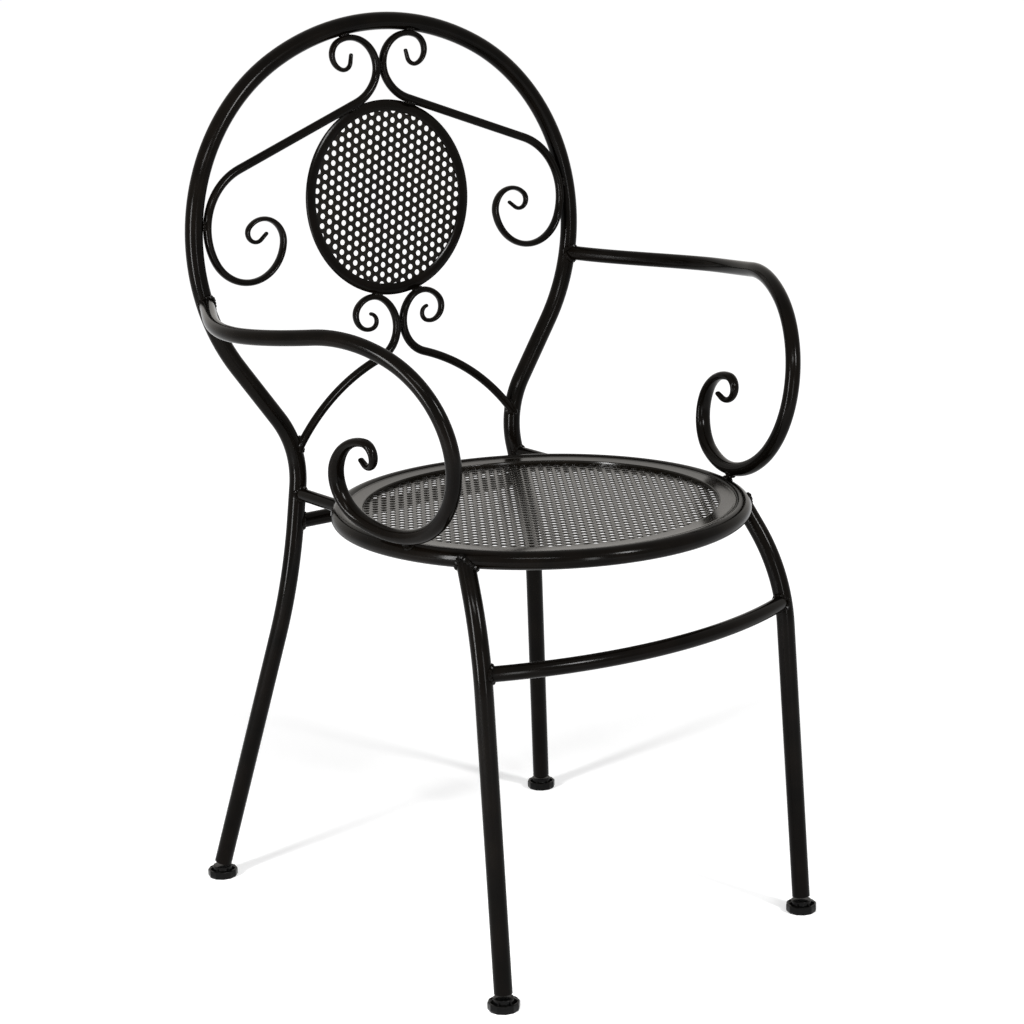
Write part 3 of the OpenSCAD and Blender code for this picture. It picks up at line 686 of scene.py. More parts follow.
@dataclass(frozen=True)
class Joint:
    """A bar that runs into the side of a round tube, for the bead round it.

    Attributes:
        at: a point on the bar's middle line.
        ahead: the bar's direction, into the tube.
        radius: the bar's radius.
        centre: a point on the tube's middle line.
        axis: the tube's direction.
        tube: the tube's radius.
        ripple: share by which the bead swells at each ripple.
        wander: share by which it swells three times on its way round.
    """

    at: Vector
    ahead: Vector
    radius: float
    centre: Vector
    axis: Vector
    tube: float
    ripple: float = 0.13
    wander: float = 0.08

    def meet(self, angle: float) -> Vector:
        """Find where the bar's skin meets the tube's.

        Args:
            angle: angle in degrees round the bar.

        Returns:
            The point.
        """
        beside = self.ahead.orthogonal().normalized()
        over = self.ahead.cross(beside)
        point = self.at + (beside * cosd(angle) + over * sind(angle)) * self.radius
        away, slope = (point - self.centre).cross(self.axis), self.ahead.cross(self.axis)
        a, b = slope.length_squared, 2 * away.dot(slope)
        room = max(0.0, b * b - 4 * a * (away.length_squared - self.tube**2))
        return point - self.ahead * ((b + math.sqrt(room)) / (2 * a))

    def bead(self, width: float, pitch: float = 2.6, per_ripple: int = 4) -> list[Station]:
        """Return the sections of a rippled weld bead all round the joint.

        Args:
            width: width of the bead.
            pitch: distance between its ripples.
            per_ripple: number of sections in each ripple.

        Returns:
            The sections of the closed bead.
        """
        count = max(8, round(math.tau * self.radius / pitch)) * per_ripple
        line = [self.meet(360 * k / count) for k in range(count)]
        found = []
        for k, point in enumerate(line):
            ahead = (line[(k + 1) % count] - line[k - 1]).normalized()
            swell = self.ripple * cosd(360 * k / per_ripple) + self.wander * sind(3 * 360 * k / count)
            found.append(round_station(point, ahead, self.ahead, width * (1 + swell)))
        return found


class Welds(Piece):
    """The weld beads and dabs of one group of joints."""

    def __init__(self, name: str, stock: Stock) -> None:
        """Start an empty group of welds."""
        super().__init__(name)
        self.shift = stock.shift

    def bead(self, joint: Joint, width: float) -> None:
        """Add a bead round a joint."""
        self.bar([s.moved(self.shift) for s in joint.bead(width)], sides=8, closed=True)

    def dab(self, at: Vector, along: Vector, size: float, count: int = 3) -> None:
        """Add a short row of weld drops that overlap, every second one a little smaller.

        Args:
            at: the middle of the row.
            along: its direction.
            size: diameter of a drop.
            count: number of drops.
        """
        apart, smaller = size * 0.62, 0.12
        for k in range(count):
            spot = at + along * ((k - (count - 1) / 2) * apart) + self.shift
            radius = size * (1 - smaller * ((k + 1) % 2)) / 2 * MM
            matrix = Matrix.Translation(spot * MM)
            bmesh.ops.create_icosphere(self.bm, subdivisions=2, radius=radius, matrix=matrix)

    def done(self, coat: Finish) -> None:
        """Add the other side and turn the group into an object."""
        self.both_sides()
        self.finish(coat, Slot.COAT)


@dataclass
class Assembly:
    """What every sub-assembly of tube or bar has: its stock and its finish."""

    stock: Stock
    coat: Finish

    def add_bar(self, name: str, stations: list[Station], node: str,
                side: Side = Side.RIGHT, sides: int = 32) -> None:
        """Add a bar as a piece that stands for one CAD node.

        Args:
            name: the piece's name.
            stations: its cross sections, on the chair's right or right across it.
            node: the CAD node.
            side: the side of the chair that it goes to.
            sides: number of sides of the bar.
        """
        shift = self.stock.shift
        piece = Piece(name)
        piece.bar([s.moved(shift) for s in stations], sides)
        piece.finish(self.coat, Slot.COAT, (node,), mirror=side is Side.LEFT)


@dataclass
class HoopBack(Assembly):
    """One bent tube: both rear legs and the hoop of the back."""

    back_y: float = 242.0
    lean: float = 4.4
    top: float = 491.5
    crown_r: float = 280.0
    crown_turn: float = 28.0
    side_r: float = 217.0
    side_turn: float = 97.4
    neck_run: float = 75.0
    neck_r: float = 101.0
    splay: float = 10.2
    rake: float = 12.85
    bend_z: float = 350.4
    bend_r: float = 450.0
    up: Vector = field(init=False)
    out: Vector = field(init=False)

    def __post_init__(self) -> None:
        """Work out the bends of the right half, from the crown down to the foot."""
        self.up = Vector((0, sind(self.lean), cosd(self.lean)))
        self.out = Vector((0, cosd(self.lean), -sind(self.lean)))
        self.down = Vector((tand(self.splay), tand(self.rake), -1)).normalized()
        self.neck_turn = self.crown_turn + self.side_turn - 90 + self.splay
        self.h_top = State(self.on_back(0, self.top), RIGHT, -self.up)
        self.h_side = self.h_top.bend(self.crown_r, self.crown_turn)
        self.h_run = self.h_side.bend(self.side_r, self.side_turn)
        self.h_neck = self.h_run.go(self.neck_run).flip()
        self.h_leg = self.h_neck.bend(self.neck_r, self.neck_turn)
        along = self.h_leg.ahead.dot(self.down)
        self.rear_turn = math.degrees(math.acos(along))
        side = (self.down - self.h_leg.ahead * along).normalized()
        corner = (self.h_leg.at.z - self.bend_z) / -self.h_leg.ahead.z
        self.upper = corner - self.bend_r * tand(self.rear_turn / 2)
        self.h_rake = State(self.h_leg.go(self.upper).at, self.h_leg.ahead, side)
        self.h_lower = self.h_rake.bend(self.bend_r, self.rear_turn)
        self.lower = (self.h_lower.at.z - self.stock.foot_z) / -self.down.z

    def on_back(self, u: float, v: float, out: float = 0.0) -> Vector:
        """Return a point of the back's plane: u across, v up along it, out behind it."""
        return Vector((u, self.back_y, self.stock.ring_z)) + self.up * v + self.out * out

    def side_mid(self) -> tuple[float, float]:
        """Return the centre of the right side bend in the plane of the back."""
        drop = self.crown_r - self.side_r
        return drop * sind(self.crown_turn), self.top - self.crown_r + drop * cosd(self.crown_turn)

    def edge(self, v: float) -> tuple[float, Vector]:
        """Find the hoop's right flank at a height.

        Args:
            v: the height along the back.

        Returns:
            The flank's distance from the middle line, and its tangent.
        """
        mid = self.side_mid()
        reach = math.sqrt(self.side_r**2 - (v - mid[1]) ** 2)
        slope = Vector((-(v - mid[1]) / reach, 1)).normalized()
        return mid[0] + reach, RIGHT * slope.x + self.up * slope.y

    def leg_at(self, w: float) -> Vector:
        """Find a point of the rear leg.

        Args:
            w: from 0 at the neck to 4 at the foot, 1 for each bend and straight run.

        Returns:
            The point on the leg's middle line.
        """
        if w < 1:
            return self.h_neck.bend(self.neck_r, self.neck_turn * w).at
        if w < 2:
            return self.h_leg.go(self.upper * (w - 1)).at
        if w < 3:
            return self.h_rake.bend(self.bend_r, self.rear_turn * (w - 2)).at
        return self.h_lower.go(self.lower * (w - 3)).at

    def leg_z(self, z: float) -> Vector:
        """Return the point of the rear leg's centre line at a height."""
        return at_height(self.leg_at, 4.0, z)

    def leg_dir(self, z: float) -> Vector:
        """Return the upward direction of the rear leg at a height."""
        return (self.leg_z(z + EACH_WAY) - self.leg_z(z - EACH_WAY)).normalized()

    def build(self) -> None:
        """Build the tube from foot to foot, its ends just over the glides."""
        half = self.h_top.bends(self.crown_r, self.crown_turn, fine=1.8)[:-1]
        half += self.h_side.bends(self.side_r, self.side_turn, fine=2.2)
        half += self.h_neck.bends(self.neck_r, self.neck_turn, fine=3.0)
        half += self.h_rake.bends(self.bend_r, self.rear_turn, fine=1.5)
        half.append(self.h_lower.go(self.lower - self.stock.foot_gap))
        right = [round_station(s.at, s.ahead, self.out, self.stock.tube) for s in half]
        left = [s.other_side() for s in reversed(right[1:])]
        self.add_bar("hoop_and_rear_legs", left + right, "back_frame")


@dataclass
class Seat(Assembly):
    """Round seat: the ring tube, the pressed border and the perforated sheet."""

    sheet_coat_painted_light: Finish
    rim_z: float = 7.5
    rim_w: float = 14.5
    step: float = 4.0
    rim_t: float = 1.2
    sheet_t: float = 1.0
    hole: float = 6.0
    pitch: float = 10.5
    rows: float = -4.0
    segments: int = 144

    @property
    def rim_in(self) -> float:
        """Inner radius of the border."""
        return self.stock.ring_r - self.stock.tube / 2 - self.rim_w

    def flank(self, z: float) -> float:
        """Return the radius at which the ring tube's inner flank is met at a height."""
        return self.stock.ring_r - math.sqrt((self.stock.tube / 2) ** 2 - z * z) - self.stock.gap

    def ring(self) -> None:
        """Build the ring tube."""
        stock = self.stock
        profile = [
            (stock.ring_r + stock.tube / 2 * cosd(a), stock.tube / 2 * sind(a))
            for a in range(0, 360, 10)
        ]
        piece = Piece("seat_ring_tube")
        piece.lathe(profile + profile[:1], UP * stock.ring_z + stock.shift, self.segments)
        piece.finish(self.coat, Slot.COAT, ("seat_ring",))

    def border(self) -> None:
        """Build the pressed border with its rolled inner edge and its outer groove."""
        sheet = self.rim_z - self.step
        inner, top, thick = self.rim_in, self.rim_z, self.rim_t
        outer = self.flank(top)
        rolled_edge = [
            (inner, sheet + 0.05), (inner, sheet + 1.2), (inner + 0.1, top - 0.7),
            (inner + 0.35, top - 0.25), (inner + 0.8, top - 0.04), (inner + 1.3, top),
        ]
        groove = [
            (outer - 3.2, top), (outer - 2.4, top + 0.12), (outer - 1.6, top + 0.45),
            (outer - 0.9, top + 0.55), (outer - 0.3, top + 0.30), (outer - 0.1, top - 0.20),
        ]
        underside = [
            (self.flank(top - thick), top - thick), (inner + thick, top - thick),
            (inner + thick, sheet + 0.05),
        ]
        profile = rolled_edge + groove + underside + rolled_edge[:1]
        piece = Piece("seat_border")
        piece.lathe(profile, UP * self.stock.ring_z + self.stock.shift, self.segments)
        piece.finish(self.sheet_coat_painted_light, Slot.COAT, ("seat_rim",), smooth=55)

    def sheet(self) -> None:
        """Build the perforated sheet."""
        top = self.rim_z - self.step
        radius = min(self.flank(top), self.flank(top - self.sheet_t))
        holes_r = self.rim_in + self.hole / 2
        sheet = Perforated(radius, holes_r, self.sheet_t, self.hole, self.pitch, self.rows)
        at = UP * (self.stock.ring_z + top) + self.stock.shift
        piece = Piece("seat_sheet")
        sheet.build(piece, Matrix.Translation(at * MM))
        piece.finish(self.sheet_coat_painted_light, Slot.SHEET, ("seat_mesh",), smooth=50)

    def build(self) -> None:
        """Build the ring, the border and the sheet."""
        self.ring()
        self.border()
        self.sheet()


@dataclass(frozen=True)
class Perforated:
    """Round sheet punched with staggered holes whose upper lips are rounded.

    Attributes:
        radius: the sheet's radius.
        field_r: radius within which the middles of the holes lie.
        rows: angle of the rows of holes.
        lip: width and depth of a hole's rounded lip.
        sides: number of sides of a hole, and segments that of the sheet's edge.
    """

    radius: float
    field_r: float
    thick: float
    hole: float
    pitch: float
    rows: float
    lip: float = 0.28
    sides: int = 18
    segments: int = 144

    def rows_of_holes(self) -> list[tuple[float, float, int]]:
        """Lay out the holes, every second row moved by half a pitch.

        Returns:
            For each row, the place of its first hole and its number of holes.
        """
        apart = self.pitch * sind(60)
        rows = math.ceil(self.field_r / apart)
        found = []
        for j in range(-rows, rows + 1):
            y = j * apart
            xs = [(i + (j % 2) / 2) * self.pitch for i in range(-rows - 1, rows + 2)]
            inside = [x for x in xs if x * x + y * y < self.field_r**2]
            if inside:
                found.append((inside[0], y, len(inside)))
        return found

    def cell(self, bm: bmesh.types.BMesh) -> list:
        """Build one six-sided cell with its hole, walls and underside.

        Args:
            bm: the bmesh that takes it.

        Returns:
            The cell's vertices, edges and faces.
        """
        outlines = []
        for depth in (0.0, -self.thick):
            place = Matrix.Translation((0, 0, depth * MM))
            edges = circle(bm, 6, self.pitch / math.sqrt(3) * MM, place)
            split = bmesh.ops.subdivide_edges(bm, edges=edges, cuts=self.sides // 6 - 1)["geom_inner"]
            outlines.append(list({e for v in only(split, bmesh.types.BMVert) for e in v.link_edges}))
        radius, depth = self.hole / 2 + self.lip, 0.0
        edges = circle(bm, self.sides, radius * MM, Matrix())
        bmesh.ops.bridge_loops(bm, edges=outlines[0] + edges)
        for to_radius, to_depth in (
            (self.hole / 2 + self.lip * 0.3, -self.lip * 0.3),
            (self.hole / 2, -self.lip),
            (self.hole / 2, -self.thick),
        ):
            verts, edges = extruded(bm, edges)
            share = to_radius / radius
            bmesh.ops.scale(bm, vec=(share, share, 1), verts=verts)
            bmesh.ops.translate(bm, vec=(0, 0, (to_depth - depth) * MM), verts=verts)
            radius, depth = to_radius, to_depth
        bmesh.ops.bridge_loops(bm, edges=outlines[1] + edges)
        return bm.verts[:] + bm.edges[:] + bm.faces[:]

    def copy(self, bm: bmesh.types.BMesh, geom: list, x: float, y: float) -> list:
        """Copy some geometry.

        Args:
            bm: the bmesh that holds it.
            geom: its vertices, edges and faces.
            x: distance across that the copy is moved by.
            y: distance along that the copy is moved by.

        Returns:
            The copy's vertices, edges and faces.
        """
        made = bmesh.ops.duplicate(bm, geom=geom)["geom"]
        verts = only(made, bmesh.types.BMVert)
        bmesh.ops.translate(bm, vec=(x * MM, y * MM, 0), verts=verts)
        return made

    def build(self, piece: Piece, place: Matrix) -> None:
        """Build the sheet, its top at local height 0.

        Args:
            piece: the piece that takes it.
            place: matrix from the sheet's plane to the chair, in metres.
        """
        bm = piece.bm
        rows = self.rows_of_holes()
        cells = [self.cell(bm)]
        for k in range(1, max(count for _, _, count in rows)):
            cells.append(self.copy(bm, cells[0], k * self.pitch, 0))
        for x, y, count in rows:
            self.copy(bm, [g for c in cells[:count] for g in c], x, y)
        spare = [v for c in cells for v in only(c, bmesh.types.BMVert)]
        bmesh.ops.delete(bm, geom=spare, context="VERTS")
        bmesh.ops.remove_doubles(bm, verts=bm.verts, dist=SEAM)
        turn = Matrix.Rotation(math.radians(self.rows), 3, "Z")
        bmesh.ops.rotate(bm, cent=(0, 0, 0), matrix=turn, verts=bm.verts)
        self.edge(bm)
        bmesh.ops.transform(bm, matrix=place, verts=bm.verts)

    def edge(self, bm: bmesh.types.BMesh) -> None:
        """Join the punched field to the sheet's round edge, above and below.

        Args:
            bm: the bmesh that holds the field.
        """
        rims = []
        for height in (0.0, -self.thick * MM):
            holes = [
                e for e in bm.edges
                if e.is_boundary and all(abs(v.co.z - height) < SAME for v in e.verts)
            ]
            rim = circle(bm, self.segments, self.radius * MM, Matrix.Translation((0, 0, height)))
            bmesh.ops.triangle_fill(bm, use_beauty=True, use_dissolve=False, edges=holes + rim)
            rims += rim
        bmesh.ops.bridge_loops(bm, edges=rims)


@dataclass
class FrontLegs(Assembly):
    """The two front legs, each with a knee, and the bowed stretcher between them."""

    foot_x: float = 198.5
    foot_y: float = 184.0
    knee_x: float = 195.5
    knee_y: float = 158.5
    knee_z: float = 371.4
    knee_r: float = 200.0
    angle: float = 32.0
    stretcher_z: float = 340.4
    bow: float = 45.0
    bow_steps: int = 60
    ring_bead: float = 5.6
    stretcher_bead: float = 5.0

    def __post_init__(self) -> None:
        """Work out the bend of the right leg, from the floor up to the ring, and the bow."""
        foot = Vector((self.foot_x, -self.foot_y, 0))
        knee = Vector((self.knee_x, -self.knee_y, self.knee_z))
        end = self.stock.on_ring(-self.angle)[0]
        self.shin, thigh = (knee - foot).normalized(), (end - knee).normalized()
        along = self.shin.dot(thigh)
        self.turn = math.degrees(math.acos(along))
        side = (thigh - self.shin * along).normalized()
        cut = self.knee_r * tand(self.turn / 2)
        self.shin_run, self.thigh_run = (knee - foot).length - cut, (end - knee).length - cut
        self.f_foot = State(foot, self.shin, side)
        self.f_knee = self.f_foot.go(self.shin_run)
        self.f_thigh = self.f_knee.bend(self.knee_r, self.turn)
        self.bow_end = self.at_z(self.stretcher_z)
        self.bow_r = (self.bow_end.x**2 + self.bow**2) / (2 * self.bow)
        self.bow_half = math.degrees(math.asin(self.bow_end.x / self.bow_r))

    def at(self, w: float) -> Vector:
        """Find a point of the leg.

        Args:
            w: from 0 at the floor to 3 at the ring, 1 for each straight run and the bend.

        Returns:
            The point on the leg's middle line.
        """
        if w < 1:
            return self.f_foot.go(self.shin_run * w).at
        if w < 2:
            return self.f_knee.bend(self.knee_r, self.turn * (w - 1)).at
        return self.f_thigh.go(self.thigh_run * (w - 2)).at

    def at_z(self, z: float) -> Vector:
        """Return the point of the leg's centre line at a height."""
        return at_height(self.at, 3.0, z)

    def dir_z(self, z: float) -> Vector:
        """Return the upward direction of the leg at a height."""
        return (self.at_z(z + EACH_WAY) - self.at_z(z - EACH_WAY)).normalized()

    def leg(self, side: Side) -> None:
        """Build one leg, from just over its glide into the underside of the ring.

        Args:
            side: the leg's side of the chair.
        """
        stock = self.stock
        states = [self.f_foot.go(stock.foot_z + stock.foot_gap)]
        states += self.f_knee.bends(self.knee_r, self.turn, fine=1.5)
        states.append(self.f_thigh.go(self.thigh_run - stock.inset))
        hint = self.shin.cross(self.f_foot.side)
        stations = [round_station(s.at, s.ahead, hint, stock.tube) for s in states]
        self.add_bar(f"front_leg_tube_{side.value}", stations, f"front_leg_{side.value}", side)

    def stretcher(self) -> None:
        """Build the bowed stretcher, its ends inside the skin of both legs."""
        rail = self.stock.rail
        reach = self.bow_half - math.degrees(self.stock.inset / self.bow_r)
        middle = Vector((0, self.bow_end.y - self.bow + self.bow_r, self.stretcher_z))
        stations = []
        for k in range(self.bow_steps + 1):
            out = level(reach * (2 * k / self.bow_steps - 1) - 90)
            stations.append(Station(middle + out * self.bow_r, out, UP, rail, rail))
        self.add_bar("front_stretcher_tube", stations, "front_stretcher")

    def welds(self) -> None:
        """Build the beads under the ring and at the ends of the stretcher."""
        stock, group = self.stock, Welds("welds_front_legs", self.stock)
        tube, top = stock.tube / 2, self.f_thigh.go(self.thigh_run)
        ring = Joint(top.at, top.ahead, tube, *stock.on_ring(-self.angle), tube)
        group.bead(ring, self.ring_bead)
        end, leg = self.bow_end, self.dir_z(self.stretcher_z)
        group.bead(Joint(end, level(self.bow_half), stock.rail / 2, end, leg, tube), self.stretcher_bead)
        group.done(self.coat)

    def build(self) -> None:
        """Build both legs, the stretcher and their welds."""
        for side in Side:
            self.leg(side)
        self.stretcher()
        self.welds()


@dataclass
class RearRails(Assembly):
    """Straight crossbar between the rear legs and the two brackets to the ring."""

    hoop: HoopBack
    crossbar_drop: float = 34.0
    bracket_drop: float = 3.0
    ring_inset: float = 3.0
    hoop_bite: float = 4.0
    leg_bead: float = 4.8
    ring_bead: float = 4.2

    def crossbar(self) -> None:
        """Build the crossbar, its ends inside the skin of both legs."""
        end = self.hoop.leg_z(self.stock.ring_z - self.crossbar_drop)
        half = end.x - self.stock.inset
        stations = [
            round_station(Vector((x, end.y, end.z)), RIGHT, UP, self.stock.rail) for x in (-half, 0, half)
        ]
        self.add_bar("rear_crossbar_tube", stations, "rear_crossbar")

    def bracket(self, side: Side) -> None:
        """Build one bracket from the ring back to the neck of the hoop.

        Args:
            side: the bracket's side of the chair.
        """
        stock = self.stock
        end = self.hoop.leg_z(stock.ring_z - self.bracket_drop)
        ring = math.sqrt(stock.ring_r**2 - end.x**2)
        places = (ring + self.ring_inset, (ring + end.y) / 2, end.y - stock.tube / 2 + self.hoop_bite)
        stations = [round_station(Vector((end.x, y, end.z)), BACK, UP, stock.bracket) for y in places]
        self.add_bar(f"seat_bracket_bar_{side.value}", stations, f"seat_bracket_{side.value}", side)

    def welds(self) -> None:
        """Build the beads of the crossbar and the brackets."""
        stock, group = self.stock, Welds("welds_rear_rails", self.stock)
        tube = stock.tube / 2
        for drop, bar, ahead in (
            (self.crossbar_drop, stock.rail, RIGHT), (self.bracket_drop, stock.bracket, BACK),
        ):
            z = stock.ring_z - drop
            end = self.hoop.leg_z(z)
            group.bead(Joint(end, ahead, bar / 2, end, self.hoop.leg_dir(z), tube), self.leg_bead)
        at, axis = stock.on_ring(math.degrees(math.acos(end.x / stock.ring_r)))
        start = Vector((end.x, at.y, end.z))
        group.bead(Joint(start, -BACK, stock.bracket / 2, at, axis, tube), self.ring_bead)
        group.done(self.coat)

    def build(self) -> None:
        """Build the crossbar, both brackets and their welds."""
        self.crossbar()
        for side in Side:
            self.bracket(side)
        self.welds()


@dataclass
class Arms(Assembly):
    """The two arms, each one bar that runs forward, down round a loop and into a curl.

    Attributes:
        bar: the bar's diameter.
        rise: height of the arm's root over the ring.
        run_r: radius of the long run, and run_turn its turn; front, loop, curl and tip alike.
        flare: how far the arm swings out after its root, over flare_run.
        narrow: how far it stands out from the ring in the loop, at narrow_share of its turn.
        curl_out: the same in the curl, at curl_share of its turn; tip_in leads the tip back.
        taper: length before the tip over which the bar thins to tip_t.
        tip_w: share of the bar's width left at the tip; slim is the length that gives it back.
        swell: how much wider the hammered bar grows halfway along its taper.
        stub_y: how far forward the stubs stand.
        stub_bite: depth of a stub's hidden ends.
    """

    hoop: HoopBack
    bar: float = 16.0
    rise: float = 214.0
    tilt: float = 4.3
    run_r: float = 1410.0
    run_turn: float = 11.1
    front_r: float = 139.0
    front_turn: float = 35.2
    low: float = 17.2
    loop_turn: float = 177.6
    curl_r: float = 44.0
    curl_turn: float = 157.5
    tip_r: float = 12.6
    tip_turn: float = 208.0
    tip_run: float = 6.5
    flare: float = 64.9
    flare_run: float = 174.0
    flare_power: float = 1.18
    narrow: float = -0.9
    narrow_share: float = 0.59
    narrow_power: float = 0.85
    curl_out: float = 30.4
    curl_share: float = 0.56
    curl_power: float = 1.37
    tip_in: float = 9.0
    taper: float = 260.0
    taper_power: float = 0.7
    tip_t: float = 5.0
    tip_w: float = 0.42
    slim: float = 150.0
    swell: float = 2.0
    stub_y: float = 56.0
    stub_bite: float = 2.0
    root_bead: float = 5.4
    stub_bead: float = 4.0

    def __post_init__(self) -> None:
        """Work out the side view of the right arm."""
        v = self.rise / cosd(self.hoop.lean)
        reach, self.axis = self.hoop.edge(v)
        self.root = self.hoop.on_back(reach, v)
        self.start = Step(-self.root.y, self.root.z, -self.tilt)
        loop = self.start.turn(self.run_r, self.run_turn).turn(self.front_r, -self.front_turn)
        loop_r = (loop.y - self.stock.ring_z - self.low) / (1 + cosd(loop.heading))
        curl = loop.turn(loop_r, -self.loop_turn)
        legs = [
            (self.run_r, self.run_turn), (self.front_r, -self.front_turn),
            (loop_r, -self.loop_turn), (self.curl_r, -self.curl_turn),
            (self.tip_r, -self.tip_turn), (0, self.tip_run),
        ]
        self.path = self.start.walk(legs, fine=2.5)
        self.length = self.path[-1].run
        self.narrow_at = loop.run + (curl.run - loop.run) * self.narrow_share
        self.curl_at = curl.run + arc(self.curl_r, self.curl_turn) * self.curl_share

    def x(self, run: float) -> float:
        """Find how far the arm stands out from the middle plane.

        Args:
            run: the run along the arm from its root.

        Returns:
            The distance.
        """
        wide = self.root.x + self.flare
        narrow = self.stock.ring_r + self.narrow
        curl = self.stock.ring_r + self.curl_out
        if run < self.flare_run:
            swing = sind(90 * max(0.0, run) / self.flare_run) ** self.flare_power
            return self.root.x + self.flare * swing
        if run < self.narrow_at:
            share = (run - self.flare_run) / (self.narrow_at - self.flare_run)
            return wide + (narrow - wide) * ease(share**self.narrow_power)
        if run < self.curl_at:
            share = (run - self.narrow_at) / (self.curl_at - self.narrow_at)
            return narrow + (curl - narrow) * ease(share**self.curl_power)
        return curl - self.tip_in * ease((run - self.curl_at) / (self.length - self.curl_at))

    def section(self, step: Step) -> Station:
        """Work out the arm's cross section.

        Args:
            step: its place in the side view.

        Returns:
            The cross section.
        """
        slope = self.x(step.run + 0.5) - self.x(step.run - 0.5)
        ahead = Vector((slope, -cosd(step.heading), sind(step.heading))).normalized()
        side = (RIGHT - ahead * ahead.x).normalized()
        left = self.length - step.run
        share = min(1.0, left / self.taper)
        thick = self.tip_t + (self.bar - self.tip_t) * share**self.taper_power
        wide = min(self.bar * (self.tip_w + left / self.slim), self.bar + self.swell * sind(180 * share))
        return Station(Vector((self.x(step.run), -step.x, step.y)), ahead.cross(side), side, thick, wide)

    def arm(self, side: Side) -> None:
        """Build one arm, its start inside the skin of the hoop.

        Args:
            side: the arm's side of the chair.
        """
        inset = self.stock.inset
        stations = [self.section(self.start.turn(self.run_r, math.degrees(inset / self.run_r)))]
        stations += [self.section(s) for s in self.path if s.run > inset + 1]
        stations += rounded_end(stations[-1], stations[-2])
        self.add_bar(f"arm_bar_{side.value}", stations, f"arm_{side.value}", side)

    def lowest(self) -> Station:
        """Return the arm's section that the stub carries."""
        pairs = zip(self.path, self.path[1:])
        return self.section(next(s for s, n in pairs if s.heading < -90 and s.x > self.stub_y >= n.x))

    def stub_line(self) -> tuple[Vector, Vector, Vector]:
        """Work out the stub's middle line.

        Returns:
            Its ends, on the middle of the ring and of the arm, and its direction.
        """
        top = self.lowest().at
        foot = Vector((top.x, top.y, 0)).normalized() * self.stock.ring_r + UP * self.stock.ring_z
        return foot, top, (top - foot).normalized()

    def stub(self, side: Side) -> None:
        """Build the stub between the ring and the low point of the arm.

        Args:
            side: the stub's side of the chair.
        """
        stock = self.stock
        foot, top, ahead = self.stub_line()
        start = foot + ahead * (stock.tube / 2 - self.stub_bite)
        end = top - ahead * (self.bar / 2 - self.stub_bite)
        stations = [round_station(start.lerp(end, k / 4), ahead, RIGHT, stock.stub) for k in range(5)]
        self.add_bar(f"arm_stub_bar_{side.value}", stations, f"arm_stub_{side.value}", side, sides=24)

    def welds(self) -> None:
        """Build the beads at the hoop and at both ends of the stubs."""
        stock, group = self.stock, Welds("welds_arms", self.stock)
        tube, back = stock.tube / 2, self.section(self.start).ahead()
        group.bead(Joint(self.root, back, self.bar / 2, self.root, self.axis, tube), self.root_bead)
        foot, top, ahead = self.stub_line()
        ring, low = Vector((-foot.y, foot.x, 0)).normalized(), self.lowest()
        group.bead(Joint(foot, -ahead, stock.stub / 2, foot, ring, tube), self.stub_bead)
        group.bead(Joint(top, ahead, stock.stub / 2, top, low.ahead(), low.wide / 2), self.stub_bead)
        group.done(self.coat)

    def build(self) -> None:
        """Build both arms, their stubs and their welds."""
        for side in Side:
            self.arm(side)
            self.stub(side)
        self.welds()


def rounded_end(last: Station, before: Station, steps: int = 5) -> list[Station]:
    """Return the stations that round off the end of a hammered bar.

    Args:
        last: the bar's last cross section.
        before: the one before it.
        steps: number of stations.

    Returns:
        The stations, closing towards a narrow edge ahead of the end.
    """
    ahead = (last.at - before.at).normalized()
    reach, edge = min(last.wide, last.deep) * 0.45, 0.25
    found = []
    for k in range(1, steps + 1):
        angle = 88 * k / steps
        deep = edge + (cosd(angle) * (1 - edge) if k < steps else 0)
        at = last.at + ahead * (reach * sind(angle))
        found.append(Station(at, last.across, last.beside, last.wide * cosd(angle), last.deep * deep))
    return found


